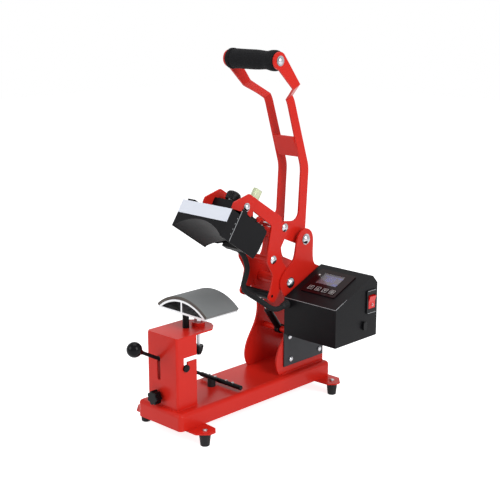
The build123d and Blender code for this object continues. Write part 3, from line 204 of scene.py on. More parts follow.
# cells: small rounded pits, as on foam and sponge rubber, whose value is lowest at each pit's floor; the foam
# and the wool darken that floor as painted shade
cell_group, g_in, g_out = new_group(
    "foam_cells", (("Scale", FLOAT, 900.0),), (("Pit", FLOAT), ("Height", FLOAT)))
place = node(cell_group, "ShaderNodeTexCoord").outputs["Object"]
cells = node(cell_group, "ShaderNodeTexVoronoi", {"Vector": place, "Scale": g_in["Scale"]})
pit = node(cell_group, "ShaderNodeMapRange",
           {"Value": cells.outputs["Distance"], "From Min": 0.0, "From Max": 0.6})
cell_group.links.new(pit.outputs["Result"], g_out["Pit"])
cell_group.links.new(pit.outputs["Result"], g_out["Height"])

# braid: two families of yarns wound in opposite directions, drawn on the piece's own UV map
braid_group, g_in, g_out = new_group(
    "braid", (("Around", FLOAT, 10.0), ("Along", FLOAT, 60.0)), (("Yarn", FLOAT), ("Height", FLOAT)))
uv = node(braid_group, "ShaderNodeSeparateXYZ", {0: node(braid_group, "ShaderNodeTexCoord").outputs["UV"]})
around = maths(braid_group, "MULTIPLY", uv.outputs["X"], g_in["Around"])
along = maths(braid_group, "MULTIPLY", uv.outputs["Y"], g_in["Along"])
ridges = []
for slant in ("ADD", "SUBTRACT"):
    turn = maths(braid_group, "MULTIPLY", maths(braid_group, slant, around, along), 2 * pi)
    ridges.append(maths(braid_group, "ABSOLUTE", maths(braid_group, "SINE", turn)))
yarn = maths(braid_group, "MAXIMUM", *ridges)
braid_group.links.new(yarn, g_out["Yarn"])
braid_group.links.new(yarn, g_out["Height"])


# ---------------------------------------------------------------- materials
def new_material(name, **sockets):
    """A material with one Principled shader; its constant sockets are set directly."""
    made = bpy.data.materials.new(name)
    made.use_nodes = True
    tree = made.node_tree
    shader = tree.nodes["Principled BSDF"]
    for key, value in sockets.items():
        shader.inputs[key.replace("_", " ")].default_value = value
    return made, tree, shader


def bumped(tree, shader, height, strength, distance):
    """Feeds a height through a Bump node into the shader's normal."""
    bump = node(tree, "ShaderNodeBump", {"Height": height, "Strength": strength, "Distance": distance})
    tree.links.new(bump.outputs["Normal"], shader.inputs["Normal"])


BUMP_DEPTH = 0.0002


def coated(name, colour, patch_colour, smooth, rough, grain_scale=900.0, strength=0.12, patch_scale=14.0,
           **sockets):
    """Paint, powder coat or moulded plastic with its own grain."""
    made, tree, shader = new_material(name, **sockets)
    finish = use_group(tree, coat_group, Colour=(*colour, 1), Patch_colour=(*patch_colour, 1),
                       Smooth=smooth, Rough=rough, Grain_scale=grain_scale, Patch_scale=patch_scale,
                       Patch_amount=0.6)
    tree.links.new(finish["Colour"], shader.inputs["Base Color"])
    tree.links.new(finish["Roughness"], shader.inputs["Roughness"])
    bumped(tree, shader, finish["Height"], strength, BUMP_DEPTH)
    return made


def metal(name, colour, stretch, smooth, rough, scale=300.0, strength=0.05, **sockets):
    """Bare or plated metal with fine drawing lines along one direction."""
    made, tree, shader = new_material(name, Base_Color=(*colour, 1), Metallic=1.0, **sockets)
    finish = use_group(tree, drawn_group, Stretch=stretch, Scale=scale, Smooth=smooth, Rough=rough)
    tree.links.new(finish["Roughness"], shader.inputs["Roughness"])
    bumped(tree, shader, finish["Height"], strength, BUMP_DEPTH / 2)
    return made


red_paint = coated("red_paint", (0.66, 0.021, 0.012), (0.54, 0.014, 0.008), 0.26, 0.36, grain_scale=420.0,
                   strength=0.10, Specular_IOR_Level=0.13, Coat_Weight=0.05, Coat_Roughness=0.10)
black_coat = coated("black_coat", (0.004, 0.004, 0.005), (0.008, 0.008, 0.009), 0.30, 0.42,
                    grain_scale=1500.0, strength=0.35, Specular_IOR_Level=0.09)
black_plastic = coated("black_plastic", (0.006, 0.006, 0.007), (0.010, 0.010, 0.011), 0.22, 0.36,
                       grain_scale=1100.0, strength=0.10, Specular_IOR_Level=0.12)
gloss_black = coated("gloss_black", (0.003, 0.003, 0.004), (0.005, 0.005, 0.006), 0.06, 0.12, strength=0.02,
                     Specular_IOR_Level=0.09, Coat_Weight=0.03, Coat_Roughness=0.04)
panel_film = coated("panel_film", (0.012, 0.002, 0.003), (0.006, 0.003, 0.004), 0.14, 0.24, strength=0.03,
                    patch_scale=20.0, Specular_IOR_Level=0.12, Coat_Weight=0.04, Coat_Roughness=0.10)
rubber = coated("rubber", (0.008, 0.008, 0.009), (0.014, 0.014, 0.014), 0.55, 0.75, grain_scale=700.0,
                strength=0.3, Specular_IOR_Level=0.25)
heat_coat = coated("heat_coat", (0.012, 0.012, 0.013), (0.007, 0.007, 0.008), 0.42, 0.55,
                   grain_scale=1300.0, strength=0.30, patch_scale=30.0, Specular_IOR_Level=0.13)
grey_plate = coated("grey_plate", (0.030, 0.031, 0.036), (0.022, 0.023, 0.027), 0.42, 0.55,
                    grain_scale=1500.0, strength=0.3, Specular_IOR_Level=0.25)
label_white = coated("label_white", (0.77, 0.80, 0.87), (0.71, 0.74, 0.82), 0.30, 0.42, grain_scale=600.0,
                     strength=0.04, Specular_IOR_Level=0.3)
board_green = coated("board_green", (0.010, 0.075, 0.032), (0.014, 0.105, 0.045), 0.25, 0.40,
                     patch_scale=160.0)
# painted highlight: a light grey for thin strips along edges, standing in for light caught on those edges
painted_edge_highlight = coated("painted_edge_highlight", (0.38, 0.39, 0.40), (0.10, 0.11, 0.12), 0.25, 0.40, patch_scale=90.0)
red_plastic = coated("red_plastic", (0.62, 0.010, 0.010), (0.50, 0.005, 0.005), 0.10, 0.20, strength=0.03,
                     Specular_IOR_Level=0.25, Coat_Weight=0.1, Emission_Color=(1.0, 0.02, 0.015, 1),
                     Emission_Strength=0.08)
white_ink = coated("white_ink", (0.80, 0.78, 0.76), (0.70, 0.68, 0.66), 0.35, 0.50)
silver_ink = coated("silver_ink", (0.55, 0.53, 0.52), (0.42, 0.40, 0.40), 0.30, 0.45)
chrome = metal("chrome", (0.44, 0.45, 0.47), (1.0, 1.0, 1.0), 0.05, 0.13, strength=0.03)
steel = metal("steel", (0.46, 0.46, 0.48), (0.15, 1.0, 1.0), 0.22, 0.38)
aluminium = metal("aluminium", (0.60, 0.60, 0.61), (0.1, 1.0, 1.0), 0.28, 0.42, scale=500.0, strength=0.12)
mica = coated("mica", (0.42, 0.34, 0.20), (0.30, 0.23, 0.13), 0.30, 0.50, patch_scale=60.0)

foam, tree, shader = new_material("foam", Specular_IOR_Level=0.05)
foam_pits = use_group(tree, cell_group, Scale=1100.0)
# painted shade: the foam is darker at the floor of each pit
tree.links.new(blended(tree, foam_pits["Pit"], (0.004, 0.004, 0.005, 1), (0.016, 0.016, 0.017, 1)),
               shader.inputs["Base Color"])
tree.links.new(spread(tree, foam_pits["Pit"], 0.95, 0.7), shader.inputs["Roughness"])
bumped(tree, shader, foam_pits["Height"], 0.5, 0.0004)

# the pad's front end is cut and shows a browner inside
silicone, tree, shader = new_material("silicone", Specular_IOR_Level=0.3)
silicone_pits = use_group(tree, cell_group, Scale=1600.0)
silicone_coat = use_group(tree, coat_group, Colour=(0.178, 0.186, 0.186, 1),
                          Patch_colour=(0.150, 0.155, 0.153, 1), Patch_scale=22.0, Smooth=0.50, Rough=0.68)
pad_place = node(tree, "ShaderNodeSeparateXYZ", {0: node(tree, "ShaderNodeTexCoord").outputs["Object"]})
cut_face = maths(tree, "LESS_THAN", pad_place.outputs["Y"], PAD_FRONT + 0.0006)
tree.links.new(blended(tree, cut_face, silicone_coat["Colour"], (0.085, 0.074, 0.063, 1)),
               shader.inputs["Base Color"])
tree.links.new(silicone_coat["Roughness"], shader.inputs["Roughness"])
bumped(tree, shader, silicone_pits["Height"], 0.15, 0.0002)

wool, tree, shader = new_material("wool", Specular_IOR_Level=0.2, Sheen_Weight=0.3)
wool_pits = use_group(tree, cell_group, Scale=420.0)
# painted shade: the wool is darker at the floor of each pit
tree.links.new(blended(tree, wool_pits["Pit"], (0.60, 0.56, 0.46, 1), (0.80, 0.77, 0.68, 1)),
               shader.inputs["Base Color"])
tree.links.new(spread(tree, wool_pits["Pit"], 0.95, 0.85), shader.inputs["Roughness"])
bumped(tree, shader, wool_pits["Height"], 0.6, 0.0010)

sleeve, tree, shader = new_material("braided_sleeve", Specular_IOR_Level=0.1)
sleeve_yarn = use_group(tree, braid_group, Around=9.0, Along=46.0)
# painted shade: the sleeve is darker in the grooves between the yarns
tree.links.new(blended(tree, sleeve_yarn["Yarn"], (0.003, 0.003, 0.003, 1), (0.018, 0.019, 0.020, 1)),
               shader.inputs["Base Color"])
tree.links.new(spread(tree, sleeve_yarn["Yarn"], 0.85, 0.55), shader.inputs["Roughness"])
bumped(tree, shader, sleeve_yarn["Height"], 0.6, 0.0004)

cap_plastic, tree, shader = new_material("cap_plastic", Transmission_Weight=0.35, IOR=1.45)
cap_coat = use_group(tree, coat_group, Colour=(0.80, 0.86, 0.62, 1), Patch_colour=(0.66, 0.76, 0.45, 1),
                     Patch_scale=70.0, Smooth=0.25, Rough=0.42)
tree.links.new(cap_coat["Colour"], shader.inputs["Base Color"])
tree.links.new(cap_coat["Roughness"], shader.inputs["Roughness"])
bumped(tree, shader, cap_coat["Height"], 0.08, 0.0003)

window_glass, tree, shader = new_material("window_glass", Transmission_Weight=0.92, IOR=1.35,
                                          Base_Color=(0.62, 0.60, 0.66, 1))
glass_coat = use_group(tree, coat_group, Grain_scale=60.0, Smooth=0.04, Rough=0.10)
tree.links.new(glass_coat["Roughness"], shader.inputs["Roughness"])

# the lit display: a soft glow that is brighter towards its upper right corner
lcd_face, tree, shader = new_material("lcd_face", Emission_Strength=0.55, Roughness=0.3)
lcd_place = node(tree, "ShaderNodeSeparateXYZ", {0: node(tree, "ShaderNodeTexCoord").outputs["UV"]})
lcd_share = maths(tree, "MULTIPLY_ADD", lcd_place.outputs["X"], 0.55,
                  maths(tree, "MULTIPLY", lcd_place.outputs["Y"], 0.45))
lcd_colour = blended(tree, lcd_share, (0.045, 0.012, 0.022, 1), (0.200, 0.190, 0.205, 1))
tree.links.new(lcd_colour, shader.inputs["Emission Color"])
tree.links.new(lcd_colour, shader.inputs["Base Color"])

lcd_ink, tree, shader = new_material("lcd_ink", Emission_Strength=1.0, Roughness=0.3)
ink_coat = use_group(tree, coat_group, Colour=(0.05, 0.07, 0.42, 1), Patch_colour=(0.10, 0.15, 0.55, 1),
                     Patch_scale=60.0)
tree.links.new(ink_coat["Colour"], shader.inputs["Emission Color"])
tree.links.new(ink_coat["Colour"], shader.inputs["Base Color"])

NODE_FINISH = {
    red_paint: ("base_tray", "foot_straps", "front_post", "clamp_boss", "frame_plate_right",
                "frame_plate_left", "frame_ties", "arm_plate_right", "arm_plate_left", "arm_tubes",
                "toggle_links", "handle_frame"),
    black_coat: ("lever_pin", "lever_rod", "lever_crossbar", "platen_stud", "tail_bar", "nut_block",
                 "heater_cover", "head_block", "control_box", "box_back", "strut_cylinder"),
    black_plastic: ("clamp_knob", "side_fittings", "pressure_knob"),
    gloss_black: ("star_knob", "ball_knob", "button_1", "button_2", "button_3", "button_4"),
    panel_film: ("display_panel",),
    rubber: ("rubber_feet", "lever_stop", "cover_plugs"),
    heat_coat: ("heat_plate",),
    grey_plate: ("box_bracket",),
    label_white: ("label_plate",),
    board_green: ("circuit_board",),
    red_plastic: ("power_rocker",),
    chrome: ("pivot_bolts", "arm_bolts", "crank_bolts", "grip_rod", "clamp_nut", "cover_screws",
             "crossbar_screws", "strut_rod", "pressure_screw"),
    steel: ("frame_screws", "clamp_screw"),
    aluminium: ("lower_platen",),
    mica: ("heating_element",),
    wool: ("insulation_mat",),
    silicone: ("silicone_pad",),
    foam: ("foam_grip",),
    cap_plastic: ("terminal_cap",),
    window_glass: ("display_window",),
    sleeve: ("heater_lead",),
}
for finish, names in NODE_FINISH.items():
    for name in names:
        slots = frame["nodes"][name].data.materials
        slots.clear()
        slots.append(finish)


# ---------------------------------------------------------------- mesh helpers
BOX_FACES = ((3, 2, 1, 0), (4, 5, 6, 7), (0, 1, 5, 4), (1, 2, 6, 5), (2, 3, 7, 6), (3, 0, 4, 7))


def new_piece(name, points, faces, material, body, smooth=True, uv=None):
    """Makes a piece from arrays of points and faces, gives it a material and lets it ride on a body.
    A smooth piece has the points that meet at its poles merged."""
    mesh = bpy.data.meshes.new(name)
    mesh.from_pydata(np.asarray(points, float).tolist(), [], [tuple(int(i) for i in face) for face in faces])
    if uv is not None:
        corners = np.zeros(len(mesh.loops), int)
        mesh.loops.foreach_get("vertex_index", corners)
        layer = mesh.uv_layers.new(name="UVMap")
        layer.data.foreach_set("uv", np.asarray(uv, np.float32)[corners].ravel())
    mesh.update()
    tidy = bmesh.new()
    tidy.from_mesh(mesh)
    if smooth:
        bmesh.ops.remove_doubles(tidy, verts=tidy.verts, dist=1e-7)
    bmesh.ops.recalc_face_normals(tidy, faces=tidy.faces)
    tidy.to_mesh(mesh)
    tidy.free()
    if smooth:
        mesh.shade_smooth()
        mesh.set_sharp_from_angle(angle=radians(38))
    mesh.materials.append(material)
    piece = bpy.data.objects.new(name, mesh)
    bpy.context.scene.collection.objects.link(piece)
    if body:
        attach(piece, body)
    return piece


def grid_faces(rows, columns, wrap_rows=False, wrap_columns=False):
    """The quads of a grid of points stored row by row, closed round either way if asked."""
    row = np.arange(rows if wrap_rows else rows - 1)
    column = np.arange(columns if wrap_columns else columns - 1)
    row, column = np.meshgrid(row, column, indexing="ij")
    next_row, next_column = (row + 1) % rows, (column + 1) % columns
    quads = np.stack((row * columns + column, row * columns + next_column,
                      next_row * columns + next_column, next_row * columns + column), -1)
    return quads.reshape(-1, 4).tolist()


def turned(centre, axis, outline, around=48, closed=False):
    """A surface of revolution: each (radius, distance) of the outline runs round the axis through centre.
    Each point is centre + distance * axis + radius * (cos a * side + sin a * other), for a from 0 to a
    full turn. A closed outline makes a ring."""
    axis = np.asarray(axis, float) / np.linalg.norm(axis)
    side = np.cross(axis, (0.0, 0.0, 1.0) if abs(axis[2]) < 0.9 else (1.0, 0.0, 0.0))
    side /= np.linalg.norm(side)
    other = np.cross(axis, side)
    outline = np.asarray(outline, float)
    angle = np.linspace(0, 2 * pi, around, endpoint=False)
    ring = np.cos(angle)[:, None] * side + np.sin(angle)[:, None] * other
    points = np.asarray(centre, float) + outline[:, None, 1:2] * axis + outline[:, None, 0:1] * ring[None]
    return points.reshape(-1, 3), grid_faces(len(outline), around, closed, True)


def joined(*parts):
    """Several (points, faces) surfaces as one."""
    points, faces, count = [], [], 0
    for part_points, part_faces in parts:
        points.append(np.asarray(part_points, float))
        faces += [[i + count for i in face] for face in part_faces]
        count += len(part_points)
    return np.concatenate(points), faces


def distance_along(line):
    """How far each point of a line lies from its start, measured along the line."""
    return np.concatenate(([0.0], np.cumsum(np.linalg.norm(np.diff(line, axis=0), axis=1))))


def tube(line, radius, around=16):
    """A round tube along a line of points. Each ring stands square to the line's tangent, and its first
    spoke is the last ring's spoke with its share along the tangent taken off. Its ends are closed. Returns
    points, faces and a UV map that counts turns across and 0.1 m lengths along."""
    line = np.asarray(line, float)
    tangent = np.gradient(line, axis=0)
    tangent /= np.linalg.norm(tangent, axis=1)[:, None]
    spoke = np.cross(tangent[0], RIGHT if abs(tangent[0][0]) < 0.9 else ARM_UP)
    spokes = []
    for direction in tangent:
        spoke = spoke - (spoke @ direction) * direction
        spoke = spoke / np.linalg.norm(spoke)
        spokes.append(spoke)
    spokes = np.array(spokes)
    others = np.cross(tangent, spokes)
    angle = np.linspace(0, 2 * pi, around, endpoint=False)
    radius = np.broadcast_to(np.asarray(radius, float), (len(line),))
    rings = line[:, None] + radius[:, None, None] * (np.cos(angle)[None, :, None] * spokes[:, None]
                                                     + np.sin(angle)[None, :, None] * others[:, None])
    run = distance_along(line)
    uv = np.stack(np.meshgrid(run / 0.1, angle / (2 * pi), indexing="ij")[::-1], -1).reshape(-1, 2)
    faces = grid_faces(len(line), around, wrap_columns=True)
    last = (len(line) - 1) * around
    faces += [list(range(around))[::-1], list(range(last, last + around))]
    return rings.reshape(-1, 3), faces, uv


def corner_points(steps=4):
    """The angles of a quarter circle, and the points of a rectangle's four rounded corners in order: which
    corner each belongs to, as signs, and its direction from the middle of that corner's quarter circle."""
    quarter = np.linspace(0, pi / 2, steps + 1)
    angle = (quarter[None] + np.arange(4)[:, None] * pi / 2).ravel()
    corner = np.repeat(np.array(((1, 1), (-1, 1), (-1, -1), (1, -1))), steps + 1, axis=0)
    return quarter, corner, np.stack((np.cos(angle), np.sin(angle)), -1)


def rounded_slab(size, edge, origin, axes):
    """A box of a size along three axes from its origin, with its upright edges rounded by quarter circles and
    its top rim eased: the outline shrinks by edge while the height rises by edge, on a quarter circle."""
    size = np.asarray(size, float)
    quarter, corner, spoke = corner_points()
    half = size[:2] / 2
    rim = np.stack((edge * (1 - np.cos(quarter)), size[2] - edge * (1 - np.sin(quarter))), -1)
    levels = np.concatenate(([[0.0, 0.0]], rim))
    rings = []
    for inset, height in levels:
        flat = half + corner * (half - edge) + (edge - inset) * spoke
        rings.append(np.column_stack((flat, np.full(len(flat), height))))
    points = np.concatenate(rings) @ np.asarray(axes, float) + origin
    count = len(spoke)
    faces = grid_faces(len(levels), count, wrap_columns=True)
    top = (len(levels) - 1) * count
    faces += [list(range(count))[::-1], list(range(top, top + count))]
    return points, faces


def rounded_copy(name, edge, corner=35.0, segments=2):
    """A CAD node's own shape with its loose triangles joined and every corner sharper than 'corner' degrees
    rounded off by edge. It stands for the node and rides on the same body."""
    source = frame["nodes"][name]
    shape = bmesh.new()
    shape.from_mesh(source.data)
    bmesh.ops.remove_doubles(shape, verts=shape.verts, dist=3e-6)
    bmesh.ops.dissolve_limit(shape, angle_limit=radians(0.6), verts=shape.verts, edges=shape.edges)
    sharp = [e for e in shape.edges if len(e.link_faces) == 2 and e.calc_face_angle() > radians(corner)]
    bmesh.ops.bevel(shape, geom=sharp, offset=edge, offset_type="OFFSET", segments=segments, profile=0.5,
                    clamp_overlap=True, affect="EDGES")
    mesh = bpy.data.meshes.new(name + ".finished")
    shape.to_mesh(mesh)
    shape.free()
    mesh.shade_smooth()
    mesh.set_sharp_from_angle(angle=radians(50))
    for material in source.data.materials:
        mesh.materials.append(material)
    piece = bpy.data.objects.new(name + ".finished", mesh)
    bpy.context.scene.collection.objects.link(piece)
    evened = piece.modifiers.new("even_shading", "WEIGHTED_NORMAL")
    evened.keep_sharp = True
    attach(piece, source["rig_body"])
    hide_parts(name)
    return piece


# ---------------------------------------------------------------- sheet metal with its edges eased
EASED = {"frame_plate_right": 0.7, "frame_plate_left": 0.7, "arm_plate_right": 0.7, "arm_plate_left": 0.7,
         "toggle_links": 0.7, "handle_frame": 0.7, "front_post": 0.8, "foot_straps": 0.6, "box_bracket": 0.5,
         "control_box": 0.9, "heater_cover": 0.5, "head_block": 0.8, "nut_block": 0.6, "side_fittings": 0.6}
for name, edge in EASED.items():
    rounded_copy(name, edge * MM)

# ---------------------------------------------------------------- heater lead
LEAD_ROUTE = np.array((
    (-18.0, -6.213, 340.823), (-18.0, 5.366, 332.954), (-18.0, 20.0, 321.0), (-18.0, 31.0, 302.0),
    (-18.0, 35.0, 284.0), (-18.0, 28.0, 266.0), (-15.0, 18.0, 252.0), (-2.0, 14.0, 243.0),
    (17.0, 18.0, 236.0), (36.0, 27.0, 225.0), (51.0, 35.0, 214.0), (58.5, 47.0, 213.0),
    (59.0, 60.0, 217.0), (59.0, 71.6, 219.0))) * MM
LEAD_RADIUS = 5.5 * MM


def smooth_line(route, per_run=12):
    """The points of a NURBS spline of order 3 whose control points are the route."""
    curve = bpy.data.curves.new("route", "CURVE")
    curve.dimensions = "3D"
    curve.resolution_u = per_run
    spline = curve.splines.new("NURBS")
    spline.points.add(len(route) - 1)
    spline.points.foreach_set("co", np.column_stack((route, np.ones(len(route)))).ravel())
    spline.order_u = 3
    spline.use_endpoint_u = True
    holder = bpy.data.objects.new("route", curve)
    mesh = bpy.data.meshes.new_from_object(holder)
    line = np.zeros(len(mesh.vertices) * 3)
    mesh.vertices.foreach_get("co", line)
    bpy.data.objects.remove(holder)
    bpy.data.meshes.remove(mesh)
    return line.reshape(-1, 3)


lead_line = smooth_line(LEAD_ROUTE)
lead_points, lead_faces, lead_uv = tube(lead_line, LEAD_RADIUS, around=20)
lead = new_piece("heater_sleeve", lead_points, lead_faces, sleeve, None, uv=lead_uv)
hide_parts("heater_lead")
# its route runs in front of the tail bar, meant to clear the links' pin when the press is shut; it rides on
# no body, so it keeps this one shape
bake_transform(lead)

# tapered strain reliefs where the lead leaves the head and enters the box: a collar and three shrinking ribs
relief_outline = np.array((
    (5.4, -1.5), (8.6, -1.5), (9.0, -0.6), (9.0, 3.4), (8.4, 4.0), (7.6, 4.2), (8.0, 5.0), (8.0, 6.6),
    (7.1, 7.2), (7.5, 8.0), (7.5, 9.6), (6.7, 10.2), (7.0, 11.0), (7.0, 12.6), (6.2, 14.0), (5.8, 17.0),
    (5.4, 17.2))) * MM
for name, end, way, body in (("head_strain_relief", lead_line[0], lead_line[1] - lead_line[0], "head"),
                             ("box_strain_relief", lead_line[-1], lead_line[-2] - lead_line[-1], "frame")):
    relief = new_piece(name, *turned(end, way, relief_outline, closed=True), rubber, body)

# ---------------------------------------------------------------- grip, pad and insulation
# collar and crease at the left end, a long body, a waist and a flare at the right end, as radius and place
grip_outline = np.array((
    (6.2, -63.0), (17.0, -63.0), (19.2, -62.4), (20.3, -61.0), (20.5, -58.0), (20.5, -55.2), (20.0, -53.9),
    (18.6, -53.2), (18.6, -52.4), (19.4, -51.4), (19.7, -49.0), (19.5, -40.0), (19.3, -20.0), (19.3, 4.0),
    (18.9, 16.0), (18.0, 26.0), (17.6, 33.0), (17.8, 38.0), (18.8, 43.0), (19.8, 48.0), (20.2, 53.0),
    (20.1, 58.0), (19.4, 61.2), (17.8, 62.8), (16.0, 63.0), (6.2, 63.0))) * MM
grip_shape = turned(GRIP, RIGHT, grip_outline, around=72, closed=True)
grip = new_piece("grip_sleeve", *grip_shape, foam, "handle")
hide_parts("foam_grip")


def arched_slab(centre, inner, outer, half_width, front, rear, rear_axis, up_axis, edge, steps=72):
    """A slab bent over an arc. The cross-section is a rectangle from front to rear and inner to outer radius
    with rounded corners. It is carried along the arc, so each of its points is
    centre + along * rear_axis + radius * (sin a * right + cos a * up)."""
    _, corner, spoke = corner_points()
    middle = np.array(((front + rear) / 2, (inner + outer) / 2))
    half = np.array(((rear - front) / 2, (outer - inner) / 2))
    section = middle + corner * (half - edge) + edge * spoke
    reach = np.arcsin(half_width / outer)
    turn = np.linspace(-reach, reach, steps)
    swing = np.sin(turn)[:, None] * RIGHT + np.cos(turn)[:, None] * np.asarray(up_axis)
    points = (np.asarray(centre) + section[None, :, 0:1] * np.asarray(rear_axis)
              + section[None, :, 1:2] * swing[:, None])
    count = len(section)
    faces = grid_faces(steps, count, wrap_columns=True)
    faces += [list(range(count)), list(range((steps - 1) * count, steps * count))[::-1]]
    return points.reshape(-1, 3), faces


pad_shape = arched_slab((0, 0, ARCH_CENTRE), PAD_RADIUS - PAD_SHEET, PAD_RADIUS, PAD_HALF, PAD_FRONT,
                        PAD_REAR, (0, 1, 0), (0, 0, 1), edge=0.0011)
pad = new_piece("pad_sheet", *pad_shape, silicone, "frame")
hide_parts("silicone_pad")

# the blanket lies over the pressing gap, the heat plate and the element
PRESS_GAP, HEAT_PLATE, ELEMENT, WOOL_SHEET = 0.0015, 0.008, 0.004, 0.012
WOOL_HALF, WOOL_FRONT, WOOL_REAR = 0.058, -0.254, -0.158
wool_inner = PAD_RADIUS + PRESS_GAP + HEAT_PLATE + ELEMENT
head_arch_centre = tipped(0, 0, ARCH_CENTRE - HINGE[2])
wool_shape = arched_slab(head_arch_centre, wool_inner, wool_inner + WOOL_SHEET, WOOL_HALF, WOOL_FRONT,
                         WOOL_REAR, ARM_REAR, ARM_UP, edge=0.004)
blanket = new_piece("wool_blanket", *wool_shape, wool, "head")
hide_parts("insulation_mat")

# ---------------------------------------------------------------- ball of the lever
BALL_REACH, BALL_RADIUS = 0.0917, 15.0
lever_axis = np.array((0.0, -cos(LEVER_SLOPE), sin(LEVER_SLOPE)))
ball_centre = LEVER_PIN + BALL_REACH * lever_axis
ball_angle = np.linspace(0, radians(152), 34)
ball_outline = np.column_stack((BALL_RADIUS * np.sin(ball_angle), BALL_RADIUS * np.cos(ball_angle)))
neck_outline = np.array(((6.2, -14.2), (5.4, -16.0), (5.0, -19.0), (4.4, -20.5), (3.6, -21.0),
                         (0.0, -21.0)))
ball_shape = turned(ball_centre, lever_axis, np.concatenate((ball_outline, neck_outline)) * MM, around=64)
ball = new_piece("ball_handle", *ball_shape, gloss_black, "clamp_lever")
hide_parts("ball_knob")


# ---------------------------------------------------------------- marks on the panel, buttons and rocker
PANEL_PLANE = (PANEL_EDGE, RIGHT, PANEL_UP, PANEL_OUT)


def strips(segments, width, height, plane, lift):
    """Thin raised strips on a plane, given as its origin and its across, up and outward directions. Each
    segment joins two flat points (x, y). Its outline is the segment widened and lengthened by half the width
    on each side, and it stands from lift to lift + height over the plane."""
    origin, across, up, out = plane
    parts = []
    for (ax, ay), (bx, by) in segments:
        run = np.array((bx - ax, by - ay))
        along = run / hypot(*run)
        aside = np.array((-along[1], along[0])) * width / 2
        end = along * width / 2
        flat = np.array(((ax, ay) - end - aside, (bx, by) + end - aside, (bx, by) + end + aside,
                         (ax, ay) - end + aside))
        points = [origin + x * across + y * up + z * out for z in (lift, lift + height) for x, y in flat]
        parts.append((np.array(points), BOX_FACES))
    return joined(*parts)


def arc(cx, cy, radius, start=0.0, end=360.0, count=16):
    """The chords of an arc, as segments."""
    angle = np.radians(np.linspace(start, end, count + 1))
    points = np.column_stack((cx + radius * np.cos(angle), cy + radius * np.sin(angle)))
    return list(zip(points[:-1], points[1:]))


def square(cx, cy, half):
    """The four sides of a square, as segments."""
    corners = [(cx - half, cy - half), (cx + half, cy - half), (cx + half, cy + half), (cx - half, cy + half)]
    return list(zip(corners, corners[1:] + corners[:1]))


def arrow(cx, cy, size, way):
    """A triangle that points up (way 1) or down (way -1), as segments."""
    tip, left, right = (cx, cy + way * size), (cx - size, cy - way * size), (cx + size, cy - way * size)
    return [(tip, left), (left, right), (right, tip)]


# buttons: a power sign, an arrow up, an arrow down and a square with a dash, each in a square outline
ICON_HALF, OUTLINE_HALF, ICON_WIDTH, ICON_HEIGHT = 0.0024, 0.0056, 0.0007, 0.00012
HAIR = 0.00002           # how far a mark sinks into its button, or stands clear of the screen
power_x, raise_x, lower_x, set_x = BUTTON_X
power_stem = ((power_x, BUTTON_UP + 0.001), (power_x, BUTTON_UP + 0.0038))
set_dash = ((set_x - ICON_HALF / 2, BUTTON_UP), (set_x + ICON_HALF / 2, BUTTON_UP))
ICONS = (arc(power_x, BUTTON_UP, 0.0026, 120, 420) + [power_stem],
         arrow(raise_x, BUTTON_UP, ICON_HALF, 1),
         arrow(lower_x, BUTTON_UP, ICON_HALF, -1),
         square(set_x, BUTTON_UP, ICON_HALF) + [set_dash])
for number, (x, icon) in enumerate(zip(BUTTON_X, ICONS), start=1):
    marks = strips(icon + square(x, BUTTON_UP, OUTLINE_HALF), ICON_WIDTH, ICON_HEIGHT, PANEL_PLANE,
                   BUTTON_TOP - HAIR)
    new_piece(f"button_marks_{number}", *marks, silver_ink, f"push_{number}", smooth=False)

# the display behind its window: a lit face, a line, a dot and two rows of seven-bar figures
SCREEN_LIFT, SCREEN_SHEET = -0.0044, 0.0004
screen_corners = ((0.0835, 0.0615), (0.1395, 0.0615), (0.1395, 0.0985), (0.0835, 0.0985))
screen_points = [PANEL_EDGE + x * RIGHT + y * PANEL_UP + (SCREEN_LIFT + z) * PANEL_OUT
                 for z in (0.0, SCREEN_SHEET) for x, y in screen_corners]
screen = new_piece("lcd_screen", screen_points, BOX_FACES, lcd_face, "frame", smooth=False,
                   uv=((0, 0), (1, 0), (1, 1), (0, 1)) * 2)

BARS = {"a": ((0, 2), (1, 2)), "b": ((1, 1), (1, 2)), "c": ((1, 0), (1, 1)), "d": ((0, 0), (1, 0)),
        "e": ((0, 0), (0, 1)), "f": ((0, 1), (0, 2)), "g": ((0, 1), (1, 1))}
FIGURES = {"0": "abcdef", "1": "bc", "2": "abged", "8": "abcdefg"}


def figures(text, left, low, width, step):
    """The lit bars of a row of seven-bar figures."""
    found = []
    for place, figure in enumerate(text):
        for bar in FIGURES[figure]:
            (ax, ay), (bx, by) = BARS[bar]
            x = left + place * step
            found.append(((x + ax * width, low + ay * width), (x + bx * width, low + by * width)))
    return found


display_bars = figures("180", left=0.0910, low=0.0800, width=0.0055, step=0.0095)
display_bars += figures("20", left=0.1200, low=0.0665, width=0.0042, step=0.0075)
display_bars += arc(0.1235, 0.0945, 0.0010, count=8)
display_bars.append(((0.0870, 0.0950), (0.1360, 0.0950)))
display_marks = strips(display_bars, 0.0012, 0.0001, PANEL_PLANE, SCREEN_LIFT + SCREEN_SHEET + HAIR)
new_piece("lcd_figures", *display_marks, lcd_ink, "frame", smooth=False)

# the small lamp at the left of the display, in its ring
lamp_place = PANEL_EDGE + 0.0765 * RIGHT + 0.088 * PANEL_UP + 0.0021 * PANEL_OUT
lamp_outline = np.array(((2.1, 0.0), (2.1, 0.5), (1.7, 0.6), (1.5, 0.9), (0.9, 1.4), (0.0, 1.6))) * MM
lamp = turned(lamp_place, PANEL_OUT, lamp_outline, around=24)
new_piece("panel_lamp", *lamp, white_ink, "frame")

# 0 and I on the rocker. Known fault: their faces are tipped with the upper end in, and the CAD's rocker has
# its lower end in, so the I lies inside the rocker and the 0 stands off it.
ROCKER_AXIS = np.array((0.1866, 0.181, 0.228))
ROCKER_TIP = radians(8.0)
ROCKER_MIDDLE, ROCKER_END, ROCKER_HALF = 0.0042, 0.0060, 0.013


